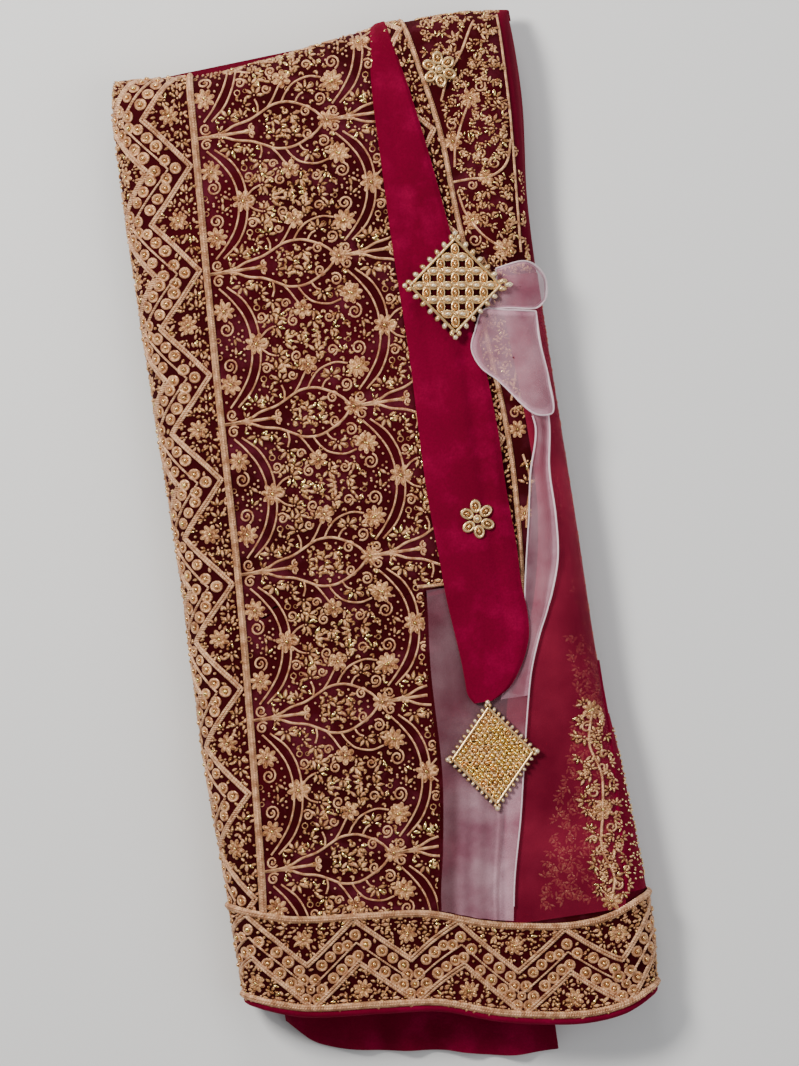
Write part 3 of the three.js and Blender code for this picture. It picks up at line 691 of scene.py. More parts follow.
class Stitching:
    # Gathers motifs and threads for one piece, sorted by finish

    def __init__(self):
        self.points = []
        self.faces = []
        self.finish = []
        self.thread = []
        self.names = []
        self.total = 0

    def add(self, points, faces, finish, thread):
        if finish not in self.names:
            self.names.append(finish)
        self.points.append(points)
        self.thread.append(thread)
        self.faces += [tuple(i + self.total for i in face) for face in faces]
        self.finish += [self.names.index(finish)] * len(faces)
        self.total += len(points)

    def motif(self, name, x, y, long, wide, high, angle=0.0, finish="petal"):
        points, faces = motifs[name]
        c, s = math.cos(angle), math.sin(angle)
        px, py = points[:, 0] * long, points[:, 1] * wide
        placed = np.stack([x + px * c - py * s, y + px * s + py * c, points[:, 2] * high], -1)
        self.add(placed, faces, finish, np.stack([px, py, px * 0], -1) * mm)

    def line(self, path, width, high, finish="thread"):
        # A raised thread along a path, with a half-round section
        path = np.asarray(path, float)
        step = np.gradient(path, axis=0)
        step /= np.maximum(np.linalg.norm(step, axis=1, keepdims=True), 1e-9)
        side = np.stack([-step[:, 1], step[:, 0]], -1)
        run = runOf(path)
        rows, lay = [], []
        for share, height in ((-0.5, 0), (-0.27, 0.85), (0.27, 0.85), (0.5, 0)):
            rows.append(np.column_stack([path + side * width * share, np.full(len(path), high * height)]))
            lay.append(np.column_stack([run, np.full(len(path), share * width), run * 0]))
        points = np.concatenate(rows)
        n = len(path)
        faces = []
        for k in range(3):
            for i in range(n - 1):
                faces.append((k * n + i, (k + 1) * n + i, (k + 1) * n + i + 1, k * n + i + 1)[::-1])
        self.add(points, faces, finish, np.concatenate(lay) * mm)

    def made(self, name, wrap, slot, nodes=()):
        mesh = bpy.data.meshes.new(name)
        flat = np.concatenate(self.points)
        mesh.from_pydata((wrap(flat)).tolist(), [], self.faces)
        for finish in self.names:
            mesh.materials.append(finishes[finish])
        mesh.polygons.foreach_set("material_index", np.array(self.finish, np.int32))
        mesh.polygons.foreach_set("use_smooth", np.ones(len(self.faces), bool))
        setThread(mesh, np.concatenate(self.thread))
        mesh.update()
        obj = bpy.data.objects.new(name, mesh)
        bpy.context.collection.objects.link(obj)
        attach(obj, "root")
        if nodes:
            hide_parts(*nodes)
        print("  ", name, len(self.faces), "faces")
        return obj


def smoothPath(points, step=1.6):
    # A smooth curve through a few chosen points
    points = np.asarray(points, float)
    chord = runOf(points)
    at = np.linspace(0, chord[-1], max(3, int(chord[-1] / step)))
    tables = ({"at": chord, "value": points[:, k]} for k in (0, 1))
    return np.stack([readTable(table, at) for table in tables], -1)


def spiralPath(x, y, radius, start, turns, hand=1):
    t = np.linspace(0, 1, int(10 * turns) + 3)
    reach = radius * (1 - 0.72 * t)
    angle = start + hand * t * turns * 2 * math.pi
    return np.stack([x + reach * np.cos(angle), y + reach * np.sin(angle)], -1)


def sprinkle(low, high):
    return low + (high - low) * random.random()


def flowerMotif(work, x, y, size, petals=8, finish="petal", core="glint"):
    turn = sprinkle(0, 0.6)
    for k in range(petals):
        angle = turn + 2 * math.pi * k / petals
        reach = size * 0.64
        wide = size * math.sin(math.pi / petals) * 0.62
        px, py = x + reach * math.cos(angle), y + reach * math.sin(angle)
        work.motif("thinRing", px, py, size * 0.38, wide, 1.4, angle, "thread")
        work.motif("petal", px, py, size * 0.32, wide * 0.8, 0.8, angle, finish)
    work.motif("thinRing", x, y, size * 0.3, size * 0.3, 1.2, 0, "thread")
    work.motif("stone", x, y, size * 0.2, size * 0.2, 1.5, 0, core)


def sprayMotif(work, x, y, facing, leaves=5, long=2.7, finish="petal", bright=0.12):
    spread = math.radians(56)
    for k in range(leaves):
        angle = facing + spread * (k - (leaves - 1) / 2) * 0.85
        reach = long * 1.3
        tone = "glint" if random.random() < bright else finish
        size = long * sprinkle(0.88, 1.1)
        px, py = x + reach * math.cos(angle), y + reach * math.sin(angle)
        work.motif("leaf", px, py, size, size * 0.42, 1.0, angle,
            tone if k % 2 == 0 or tone == "glint" else "thread")
    work.motif("bead", x, y, 0.6, 0.6, 0.6, 0, "thread")


def freeSpots(taken, count, low, high, reach):
    # Places for small fillers, each some way from all that is there already
    taken = [np.asarray(taken, float)]
    found = []
    for _ in range(count):
        spot = np.array([sprinkle(low[0], high[0]), sprinkle(low[1], high[1])])
        if np.min(np.linalg.norm(np.concatenate(taken) - spot, axis=1)) > reach:
            taken.append(spot[None])
            found.append((float(spot[0]), float(spot[1]), random.random() * 360))
    return found


# One half of the field's repeat: s away from the border cord, t along it from the stem
fieldVines = [
    [(0, 0), (8, 0.3), (15, 1.2), (22, 4.2), (31, 6.2), (38, 9.4), (45, 12.6), (54, 13), (62, 10),
        (69, 5.6), (73, 1)],
    [(42, 11.6), (45.5, 16), (48, 20), (50, 23)],
    [(50, 13.2), (53, 18), (58, 22.6), (67, 25), (74, 23.5)],
    [(5, 8.4), (11, 15), (17, 24), (20, 33), (20.6, 40.5)],
    [(9.5, 8.2), (18, 16), (23, 25), (25, 33), (25.4, 40.5)],
    [(26, 38), (30, 34.5), (34, 33)],
    [(36, 9), (36.5, 13), (35, 17)],
    [(58, 12), (60, 15.5), (63, 17)],
]
# s, t, size, petals
stemFlowers = [(75, 0, 5.4, 8), (23.2, 41, 6.2, 8)]
fieldFlowers = [(6.4, 21, 6.0, 8), (51.5, 26, 5.4, 6), (79, 20.5, 5.6, 8)]
# s, t, radius, start, turns, hand
fieldSpirals = [
    (5.4, 4.6, 3.4, -0.6, 1.3, -1), (7, 31, 4.3, -1.2, 1.4, 1), (27.5, 27, 3.1, 2.4, 1.3, -1),
    (63.5, 6.4, 3.3, 0.6, 1.3, 1), (72, 12.4, 3.6, -2.2, 1.4, 1), (42, 21.5, 2.7, 0.2, 1.2, -1),
    (45.5, 31.5, 3.2, -1.4, 1.3, -1), (66, 32, 3.2, -1.4, 1.3, 1), (32, 1.8, 2.0, 1.4, 1.1, 1),
]
# s, t, facing, leaves, length of a leaf
fieldSprays = [
    (19, 8.5, 75, 5, 3.0), (35, 19, 95, 5, 2.7), (11, 35.6, 60, 2, 2.4), (35, 33, 20, 5, 2.8),
    (44, 5, -40, 3, 2.6), (55, 6, -60, 4, 2.7), (64, 18, 80, 5, 2.7), (57, 32, 60, 4, 2.7),
    (39, 39.8, 0, 3, 2.8), (72, 30, 110, 3, 2.3), (49, 38, 90, 4, 2.4), (60, 39.5, 180, 4, 2.5),
    (28, 14, 10, 3, 2.4), (33, 25, 60, 4, 2.8), (31, 39, 150, 2, 2.6), (47.5, 1.8, 20, 3, 2.5),
    (59, 1.6, 180, 3, 2.4), (39, 2.6, 0, 3, 2.3), (58, 27, 100, 3, 2.4), (71, 17.6, 30, 3, 2.3),
    (46, 24.5, 120, 3, 2.2), (67, 38, 20, 4, 2.5), (36.5, 28, -20, 3, 2.6), (13, 1.7, 50, 3, 1.9),
    (27, 8, 100, 3, 2.4),
]
# s, t, size
fieldRings = [(25.5, 21.5, 1.9), (1.8, 36.4, 1.5), (41, 27, 1.6), (54, 20, 1.4), (68, 20.5, 1.6),
    (30, 22, 1.3)]


def fieldMarks():
    # Points on all that the repeat holds, for the fillers to keep clear of
    marks = [smoothPath(vine) for vine in fieldVines] + [spiralPath(*curl) for curl in fieldSpirals]
    for s, t, size, _ in fieldFlowers + stemFlowers:
        marks.append(np.array(around(s, t, size * 0.7)))
    for s, t, facing, _, long in fieldSprays:
        angle = math.radians(facing)
        points = [(s + long * f * math.cos(angle), t + long * f * math.sin(angle)) for f in (0.2, 1, 2)]
        marks.append(np.array(points))
    marks.append(np.array([(s, t) for s, t, _ in fieldRings]))
    marks.append(np.array([(s, 0.0) for s in range(0, 30, 2)]))
    return np.concatenate(marks)


fieldFillers = freeSpots(fieldMarks(), 1500, (2, 1.5), (78, 40.5), 2.6)


def fieldRepeat(work, toCloth):
    # One whole repeat: the half above the stem and its mirror below
    for hand in (1, -1):

        def at(s, t):
            return toCloth(s, t * hand)

        for k, vine in enumerate(fieldVines):
            work.line([at(*p) for p in smoothPath(vine)], 1.45 if k == 0 else 1.15, 0.8)
        for s, t, size, petals in fieldFlowers:
            flowerMotif(work, *at(s, t), size, petals)
        for curl in fieldSpirals:
            work.line([at(*p) for p in spiralPath(*curl)], 1.15, 0.7)
            work.motif("bead", *at(*curl[:2]), 0.8, 0.8, 0.5)
        for s, t, facing, leaves, long in fieldSprays:
            turn = math.radians(facing)
            (x0, y0), (x1, y1) = at(s, t), at(s + math.cos(turn), t + math.sin(turn))
            sprayMotif(work, x0, y0, math.atan2(y1 - y0, x1 - x0), leaves, long, bright=0.14)
        for s, t, size in fieldRings:
            work.motif("thinRing", *at(s, t), size, size, 1.0)
        for k, (s, t, turn) in enumerate(fieldFillers):
            x, y = at(s, t)
            if k % 3 == 0 or (s < 19 and t > 8):
                work.motif("bead", x, y, 0.8, 0.8, 0.7, finish="thread")
                continue
            for side in (-35, 35):
                angle = math.radians(turn + side)
                px, py = x + 1.1 * math.cos(angle), y + 1.1 * math.sin(angle)
                work.motif("leaf", px, py, 1.5, 0.85, 0.9, angle, "glint" if k % 7 == 1 else "petal")
    work.line([toCloth(s, 0) for s in np.linspace(0, 27, 18)], 1.7, 0.8)
    work.motif("leaf", *toCloth(29, 0), 3.2, 1.5, 0.8)
    for s, t, size, petals in stemFlowers:
        flowerMotif(work, *toCloth(s, t), size, petals)


# Where each stem leaves the cord, from above the top fold down to below the hem
field = {"repeat": 82, "column": 71, "inset": 1.8, "squeeze": 0.96}
levels = [399, 318, 236.9, 162.4, 79.7, -2.8, -82.8, -165.6, -247]


def fieldCell(level, spanUp, spanDown, columnStart):
    # Takes the repeat's own s and t to the cloth, following the slanting cord

    def toCloth(s, t):
        y = level + t * (spanUp if t > 0 else spanDown) / field["repeat"]
        x = float(readTable(lines["cord"], y)) + field["inset"] + columnStart + s * field["squeeze"]
        return x, float(y)

    return toCloth


print("stage: the field")


def keepFaces(work, keep):
    # Leaves out every face with a corner where keep says no
    flat = np.concatenate(work.points)
    good = keep(flat)
    pairs = [(f, m) for f, m in zip(work.faces, work.finish) if all(good[i] for i in f)]
    used = np.zeros(len(flat), bool)
    for face, _ in pairs:
        used[list(face)] = True
    renumber = np.cumsum(used) - 1
    work.points = [flat[used]]
    work.thread = [np.concatenate(work.thread)[used]]
    work.faces = [tuple(int(renumber[i]) for i in face) for face, _ in pairs]
    work.finish = [m for _, m in pairs]
    work.total = int(used.sum())


def onField(flat):
    x, y = flat[:, 0], flat[:, 1]
    seam = np.where(y > -24, 38.0, readTable(lines["seam"], y) - 0.6)
    cord = readTable(lines["cord"], y)
    return (x < seam) & (x > cord) & (y > hemAt(x) + skirt["hemWidth"]) & (y < tucked(x) - 4)


def wrapPanel(flat):
    x, y = flat[:, 0], flat[:, 1]
    return surface(x, y, lifts["panel"] + 0.02 + panelLiftAt(x, y) + flat[:, 2])


for name, first, last in (("upper", 1, 4), ("lower", 4, len(levels) - 1)):
    fieldWork = Stitching()
    for k in range(first, last):
        up, down = levels[k - 1] - levels[k], levels[k] - levels[k + 1]
        for column in (0, field["column"]):
            fieldRepeat(fieldWork, fieldCell(levels[k], up, down, column))
    keepFaces(fieldWork, onField)
    fieldWork.made(name + "_field_thread_work", wrapPanel, "gold_thread")


print("stage: the borders")


def ringStone(work, x, y, size, core="stone"):
    work.motif("ring", x, y, size, size, 1.7, 0, "thread")
    work.motif("thinRing", x, y, size * 0.62, size * 0.62, 1.5, 0, "petal")
    work.motif("stone", x, y, size * 0.45, size * 0.45, 1.8, 0, core)


borders = {"side": {"centre": 222.8, "period": 57.5}, "hem": {"centre": -47.4, "period": 57}}


def galloon(work, toCloth, border, before, after):
    # A broad border: b from the inner cord to the outer one, r along it
    period, width = border["period"], skirt["hemWidth"]
    start, end = border["centre"] - period * before, border["centre"] + period * after
    half = period / 2
    mid = width / 2
    slope = math.atan2(mid - 1.5, half)
    count = int((end - start) / half) + 2
    marks = []
    zig = [(start + k * half, 1.5 if k % 2 == 0 else mid) for k in range(count)]
    for shift, wide in ((-0.95, 1.5), (0.95, 1.5), (mid - 2.45, 1.5), (mid - 0.55, 1.5),
        (mid * 0.5, 1.1)):
        for (r0, b0), (r1, b1) in zip(zig, zig[1:]):
            r = np.linspace(r0, r1, 14)
            b = np.linspace(b0, b1, 14) + shift
            work.line([toCloth(*p) for p in zip(b, r)], wide, 1.2, "cord")
            marks += list(zip(b, r))
    for k in range(count - 1):
        r = start + k * half
        top = k % 2 == 0
        # the triangle against a cord: a flower among small leaves
        edge = width - 1 if top else 1
        out = -1 if top else 1
        flowerMotif(work, *toCloth(edge + out * 10, r), 5.4, 8, "petal", "glint")
        marks += around(edge + out * 10, r, 4.6)
        for side in (-1, 1):
            for db, dr, turn, leaves, long in (
                (4.2, 8.2, 0, 3, 2.5),
                (4.0, 14.5, 0, 3, 2.3),
                (3.2, 20.5, 0, 2, 2.0),
                (11.5, 8.2, 35, 3, 2.1),
                (16.5, 3.0, 70, 2, 1.9),
                (3.6, 2.2, 20, 2, 1.9),
            ):
                here = toCloth(edge + out * db, r + side * dr)
                lean = math.radians(turn)
                there = toCloth(edge + out * (db + math.sin(lean)), r + side * (dr + math.cos(lean)))
                angle = math.atan2(there[1] - here[1], there[0] - here[0])
                sprayMotif(work, *here, angle, leaves, long, "petal", 0.08)
                marks += [(edge + out * db, r + side * (dr + f)) for f in (0, long, 2 * long)]
        # the river between the zigzags: a rosette of ring stones, or three in a cluster
        nodes = []
        centre = width - 12 if not top else 12
        if not top:
            nodes.append((centre, r, 2.6))
            for a in range(6):
                turn = math.radians(60 * a + 30)
                nodes.append((centre + 6.3 * math.cos(turn), r + 6.3 * math.sin(turn), 3.4))
        else:
            for db, dr in ((0, 0), (5.6, -5.0), (5.6, 5.0), (11.6, 0)):
                nodes.append((centre - 2 + db, r + dr, 3.3))
        for b, rr, size in nodes:
            marks += around(b, rr, size)
            ringStone(work, *toCloth(b, rr), size, "glint" if random.random() < 0.12 else "stone")
        reach = math.hypot(half, mid - 1.5)
        for lane in (5.25, mid * math.cos(slope) - 5.25):
            for step in np.arange(3.6, reach, 6.9):
                t = step / reach
                line = 1.5 + (mid - 1.5) * (t if top else 1 - t)
                b, rr = line + lane / math.cos(slope), r + half * t
                far = min(math.hypot(b - nb, rr - nr) for nb, nr, _ in nodes)
                nextCentre = 12 if not top else width - 12
                farNext = math.hypot(b - nextCentre, rr - r - half)
                if far > 5.6 and farNext > (8.6 if top else 9.2):
                    ringStone(work, *toCloth(b, rr), sprinkle(3.1, 3.6),
                        "glint" if random.random() < 0.1 else "stone")
                    marks += around(b, rr, 3.3)
    for b, r, turn in freeSpots(marks, 9000, (0, start), (width, end), 1.9):
        kind = "leaf" if turn < 250 else "bead"
        long, wide = (1.7, 0.95) if kind == "leaf" else (0.9, 0.9)
        work.motif(kind, *toCloth(b, r), long, wide, 1.0, math.radians(turn),
            "thread" if turn < 120 else "petal")


def besideCord(table):
    return lambda b, r: (float(readTable(lines[table], r)) - 1.5 - b * 0.98, r)


sideWork = Stitching()
galloon(sideWork, besideCord("cord"), borders["side"], 9, 3)


def sideEnd(along):
    # Where the border stops on its way round the edge
    return np.maximum(readTable(lines["cord"], along) - 52,
        flatLeft(along) - skirt["radius"] * math.radians(133))


def onSide(flat):
    x, y = flat[:, 0], flat[:, 1]
    cord = readTable(lines["cord"], y)
    return (x < cord) & (x > sideEnd(y)) & (y > hemAt(x) + skirt["hemWidth"]) & (y < tucked(x) - 4)


keepFaces(sideWork, onSide)


def sideShape(u, v):
    along0 = -215 + v * 520
    cord = readTable(lines["cord"], along0)
    across = sideEnd(along0) + (cord - sideEnd(along0)) * u
    foot = hemAt(across) + skirt["hemWidth"] - 2
    along = foot + (tucked(across) - 3 - foot) * v
    return surface(across, along, np.full_like(u, lifts["trim"] - 0.7))


sideCloth = gridPiece("side_border_cloth", 30, 120, sideShape, 0.8, "borderVelvet",
    ["side_border"])
sideWork.made("side_border_thread_work", laidAt(lifts["trim"] - 0.7), "gold_thread")


def hemShape(u, v):
    left = flatLeft(-220) - underReach
    right = flatRight(-220) + underReach
    across = left + (right - left) * u
    return surface(across, hemAt(across) + skirt["hemWidth"] * v, np.full_like(u, lifts["trim"]))


hemCloth = gridPiece("hem_border_cloth", 120, 16, hemShape, 0.8, "borderVelvet",
    ["hem_border"])


def hemToCloth(b, r):
    return (r, float(hemAt(r)) + skirt["hemWidth"] - b)


hemWork = Stitching()
galloon(hemWork, hemToCloth, borders["hem"], 3, 4)
keepFaces(hemWork, lambda flat: np.abs(flat[:, 0]) < skirt["hemReach"])


hemWork.made("hem_border_thread_work", laidAt(lifts["trim"]), "gold_thread")

print("stage: the cords")


def cordPiece(name, path, lift, nodes, width=3.6, high=2.0):
    # A laid cord: a round core with short slanting strands over it
    work = Stitching()
    path = np.asarray(path, float)
    work.line(path, width, high * 0.8, "cord")
    run = runOf(path)
    pitch = width * 0.36
    for at in np.arange(pitch, run[-1] - pitch, pitch):
        x, y = (float(np.interp(at, run, path[:, k])) for k in (0, 1))
        ahead = [float(np.interp(at + 1, run, path[:, k])) for k in (0, 1)]
        angle = math.atan2(ahead[1] - y, ahead[0] - x) + math.radians(52)
        work.motif("petal", x, y, width * 0.56, width * 0.2, high * 1.05, angle, "cord")
    return work.made(name, laidAt(lift), "gold_thread", nodes)


def cordLinePath(table, low, high, shift=0.0):
    along = np.linspace(low, high, int((high - low) / 2))
    return np.stack([readTable(lines[table], along) + shift, along], -1)


cordPiece("panel_cord_thread", cordLinePath("cord", -188, 294, 0.6), lifts["trim"] - 0.8,
    ["panel_cord"], 3.9)
cordPiece("right_cord_thread", cordLinePath("rightCord", -36, 305), lifts["panel"], ["right_cord"], 3.0)
hemRun = np.linspace(-skirt["hemReach"], skirt["hemReach"], 190)
cordPiece("hem_cord_upper_thread", np.stack([hemRun, hemAt(hemRun) + skirt["hemWidth"]], -1),
    lifts["trim"], ["hem_cord_upper"], 4.0, 2.4)
cordPiece("hem_cord_lower_thread", np.stack([hemRun, hemAt(hemRun) + 1.8], -1), lifts["trim"],
    ["hem_cord_lower"], 4.0, 2.4)
cordPiece("tab_cord_thread", np.array([(x, -23.5 - 0.04 * (x - 14)) for x in np.linspace(14, 38, 14)]),
    lifts["panel"], ["tab_cord"], 2.0, 1.2)

print("stage: the right side")


def stripShape(left, right, low, high, lift):
    # A strip between two edges that change with the distance along

    def shape(u, v):
        along = low + (high - low) * v
        first, last = left(along), right(along)
        across = first + (last - first) * u
        foot = hemAt(across) + skirt["hemWidth"] + 2
        along = np.maximum(along, foot) if low < -200 else along
        return surface(across, along, np.full_like(u, lift) if np.isscalar(lift) else lift(u, along))

    return shape


rightTrimLeft = 40.0
rightTrim = gridPiece(
    "right_border_cloth",
    10,
    90,
    stripShape(lambda y: np.full_like(y, rightTrimLeft),
        lambda y: readTable(lines["rightCord"], y) - 2, -25, 305, lifts["rightTrim"]),
    0.8,
    "borderVelvet",
    ["right_border"],
)


rightWork = Stitching()
galloon(rightWork, besideCord("rightCord"), borders["side"], 5, 3)


def onRightTrim(flat):
    x, y = flat[:, 0], flat[:, 1]
    return (x < readTable(lines["rightCord"], y)) & (x > rightTrimLeft) & (y > -25) & (y < tucked(x) - 6)


keepFaces(rightWork, onRightTrim)
rightWork.made("right_border_thread_work", laidAt(lifts["rightTrim"]), "gold_thread")

bindingWork = Stitching()
bindingRun = np.linspace(-208, -78, 60)
bindingWork.line(np.stack([readTable(lines["binding"], bindingRun), bindingRun], -1), 3, 1.6,
    "crimsonVelvet")
bindingWork.made(
    "net_binding_cloth",
    laidAt(lifts["panel"] + 0.6),
    "crimson_velvet",
    ["net_binding"],
)

edgeStrip = gridPiece(
    "edge_strip_cloth",
    14,
    30,
    stripShape(lambda y: readTable(lines["binding"], y) + 1.5, lambda y: flatRight(y) + 42, -206, -108,
        lifts["rightTrim"]),
    0.8,
    "crimsonVelvet",
    ["edge_strip"],
)


def netRight(y):
    bound = readTable(lines["binding"], y) - 1.5
    return np.where(y <= -78, bound, flatRight(y) + 25)


netCloth = gridPiece(
    "net_overlay_cloth",
    26,
    100,
    stripShape(lambda y: readTable(lines["netLeft"], y), netRight, -214, 138, lifts["net"]),
    0.25,
    "net",
    ["net_overlay"],
    lambda u, v: 0.3 + 0.6 * smoothStep(v, 0.3, 0.7) + 0.1 * smoothStep(np.abs(u - 0.5), 0.1, 0.5),
)

# Flowers and scrolls to the right of the cord, and the column low on the right
# x, y, size
rightFlowers = [
    (82, 237, 5.8), (88, 153, 5.8), (69, 215, 5.2), (73, 171, 5.2), (81, 54, 5), (78, 8, 4.4),
    (84, 193, 4.6),
    (98, -104, 5.4), (96, -159, 5.6), (94, -209, 5.4), (92, 106, 4.6), (88, 72, 4.4),
]
# x, y, facing, leaves
rightSprays = [
    (82, 203, 40, 5), (84, 186, -40, 5), (95, 235, 20, 4), (95, 212, -10, 5), (72, 248, 90, 4),
    (76, 262, 60, 5),
    (88, 256, 120, 4), (92, 172, 60, 4), (80, 140, -90, 5), (90, 132, -60, 4), (80, 122, 90, 4),
    (86, 96, 60, 5),
    (80, 82, -90, 4), (92, 222, 60, 3), (78, 270, 120, 4), (96, 140, 60, 3), (84, 36, -80, 4),
    (82, 24, 80, 4),
    (92, -118, -120, 4), (97, -128, -60, 4), (90, -140, 160, 4), (92, -172, -120, 5), (99, -180, -50, 3),
    (89, -188, 180, 4), (97, -196, -60, 4), (88, -153, 160, 3),
]
# x, y, radius, hand
rightSpirals = [
    (70, 224, 3.6, 1), (73, 160, 3.6, -1), (81, 63, 3, 1), (88, 243, 3.2, -1), (90, 200, 3.4, 1),
    (76, 190, 2.6, -1),
    (94, -113, 3.2, 1), (99, -136, 3, -1), (93, -149, 3.2, 1), (99, -169, 3, -1), (93, -181, 3.2, 1),
    (98, -201, 2.8, -1),
]
rightVines = [
    [(66, 193), (76, 193.4), (86, 193), (96, 199), (101, 212)],
    [(68, 201), (70, 212), (76, 226), (82, 237)],
    [(68, 186), (70, 176), (78, 162), (88, 153)],
    [(104, 284), (103.4, 250), (102.4, 220), (100, 180), (97.5, 150)],
    [(66, 238), (72, 252), (80, 262), (90, 280)],
    [(76, 150), (80, 138), (84, 120), (88, 106), (86, 90), (80, 70)],
    [(98, -104), (94, -122), (98, -140), (96, -159), (93, -180), (97, -196), (94, -209)],
    [(82, 40), (84, 25), (80, 10), (78, 0)],
]
rightField = Stitching()
for vine in rightVines:
    rightField.line(smoothPath(vine), 1.4, 0.8, "thread")
for x, y, size in rightFlowers:
    flowerMotif(rightField, x, y, size)
for x, y, facing, leaves in rightSprays:
    sprayMotif(rightField, x, y, math.radians(facing), leaves, 2.5)
for x, y, size, hand in rightSpirals:
    rightField.line(spiralPath(x, y, size, 0.5, 1.3, hand), 1.1, 0.7)
rightMarks = [smoothPath(vine) for vine in rightVines]
rightMarks.append(np.array([(x, y) for x, y, _ in rightFlowers]))
for x, y, facing, _ in rightSprays:
    turn = math.radians(facing)
    rightMarks.append(np.array([(x + f * math.cos(turn), y + f * math.sin(turn)) for f in (1, 4)]))
rightMarks.append(np.array([(x, y) for x, y, _, _ in rightSpirals]))
for x, y, turn in freeSpots(np.concatenate(rightMarks), 6000, (62, -206), (105, 300), 3.1):
    cordX = float(readTable(lines["rightCord"], y))
    lowEdge = 88 + (y + 112) * 0.375
    if (y > 60 and x > cordX + 3) or (-206 < y < -100 and x > max(lowEdge, 88)):
        sprayMotif(rightField, x, y, math.radians(turn), 4 if y < 0 else 3, 1.9, "petal", 0.1)
keepFaces(rightField, lambda flat: flat[:, 1] < tucked(flat[:, 0]) - 6)


def onRightCloth(flat):
    # Laid on the velvet, and lifted over the net low on the right
    overNet = 1.75 * (1 - smoothStep(flat[:, 1], -100, -92))
    return surface(flat[:, 0], flat[:, 1], 1.36 + overNet + flat[:, 2])


rightField.made("right_panel_thread_work", onRightCloth, "gold_thread")

dimField = Stitching()
for x, y, turn in freeSpots(np.array([(0.0, 0.0)]), 6000, (56, -206), (112, 120), 3.3):
    lowEdge = 88 + (y + 112) * 0.375
    inTriangle = y < -60 and x > max(lowEdge, 56) and x < 101
    inColumn = -110 < y < 118 and x > (99 if y > -60 else 92) and x < 112
    if inTriangle or inColumn:
        sprayMotif(dimField, x, y, math.radians(turn), 3 if x > 80 else 4, 1.9, "dimThread", 0.0)
dimField.made("right_panel_low_thread_work", laidAt(lifts["belowNet"]), "gold_thread")

beads = Stitching()
for k in range(150):
    y = sprinkle(-200, -116)
    x = float(readTable(lines["binding"], y)) + sprinkle(3, 22)
    beads.motif("bead", x, y, 0.7, 0.7, 0.7, 0, "paleGold")
beads.made("edge_strip_beads", laidAt(lifts["rightTrim"]), "gold_thread")

print("stage: the hem")


def pipingShape(u, v):
    across = -skirt["hemReach"] + 2 * skirt["hemReach"] * u
    turn = math.pi * (0.15 + 1.7 * v)
    along = hemAt(across) - 1.6 + 1.6 * np.cos(turn)
    return surface(across, along, 1.4 + 1.7 * np.sin(turn))


piping = gridPiece("hem_piping_cloth", 150, 10, pipingShape, 0.5, "crimsonVelvet",
    ["hem_piping"])

under = {
    "left": -93,
    "width": 147,
    "low": 5.2,
    "rise": 9,
    "ripples": 5,
    "foot": {"at": (-93, -76, -43, -8, 3, 26, 54),
        "value": (-251, -266.5, -275, -280, -283, -288, -288.4)},
}


def underShape(u, v):
    x = under["left"] + under["width"] * u
    foot, head = readTable(under["foot"], x), hemAt(x) + 4.6
    y = foot + (head - foot) * v
    ripple = 2 * np.sin(u * under["ripples"] * 2 * np.pi + 0.8 * np.sin(v * 3)) * (1 - 0.5 * v)
    fine = 0.5 * np.sin(u * 47 + 3 * v) * (1 - v)
    z = under["low"] + under["rise"] * v + 1.2 * ripple + fine
    return np.stack([x, y, z], -1) * mm


underHem = gridPiece("under_hem_cloth", 110, 20, underShape, 1.1, "crimsonVelvet",
    ["under_hem"])

print("stage: the sash and organza")
sashCreases = [
    (38, 290, 40, 60, 3, -0.9, 1),
    (46, 250, 52, 20, 4, 0.6, -2),
    (60, 150, 60, -70, 3, -0.9, 2),
    (38, 80, 46, -80, 4, 0.5, 3),
    (66, 60, 63, -60, 2.5, 0.5, 1),
]


sashPlan = {"foot": -91, "high": 7.4, "turnOver": 118}


def sashShape(u, v):
    end = float(flatTop(np.array([37.0]))[0]) + skirt["radius"] * math.radians(sashPlan["turnOver"])
    along = sashPlan["foot"] + (end - sashPlan["foot"]) * v
    left, right = readTable(lines["sashLeft"], along), readTable(lines["sashRight"], along)
    across = left + (right - left) * u
    low = lifts["sashLow"] + 1.2
    lift = low + (sashPlan["high"] - low) * np.maximum(smoothStep(u, 0, 0.55),
        1 - smoothStep(along, -30, -12))
    lift = lift - 3.2 * smoothStep(along, end - 75, end - 30)
    rounded = 1.3 * (1 - smoothStep(np.minimum(u, 1 - u), 0, 0.09))
    return surface(across, along, lift + creaseLift(across, along, sashCreases) - rounded)


sash = gridPiece("velvet_sash_cloth", 36, 200, sashShape, 1.5, "crimsonVelvet",
    ["velvet_sash"])


def organzaCover(u, v):
    stripe = smoothStep(u, 0.8, 0.86)
    return np.clip(0.25 + 0.5 * stripe + 0.35 * (1 - smoothStep(np.minimum(u, 1 - u), 0.0, 0.03)), 0, 1)


def spreadCover(u, v):
    low = 1 - smoothStep(v, 0.3, 0.62)
    body = smoothStep(u, 0.12, 0.3) * low
    pleats = 0.05 * np.sin(u * 30 + 5 * v) * body
    inner = np.exp(-(((u - 0.74 + 0.1 * v) / 0.02) ** 2)) * low
    stripe = smoothStep(u, 0.78, 0.82) * low
    return np.clip(0.1 + 0.26 * body + pleats + 0.3 * inner + 0.3 * stripe, 0, 1)


organzaCreases = [
    (44, -146, 33, -209, 1.6, 0.9, 1),
    (24, -176, 33, -212, 2.2, 0.7, -1),
    (13, -150, 20, -208, 2.6, 0.6, 1),
    (42, -180, 26, -196, 2, 0.6, 1),
    (20, -60, 24, -130, 3, 0.5, 1),
]


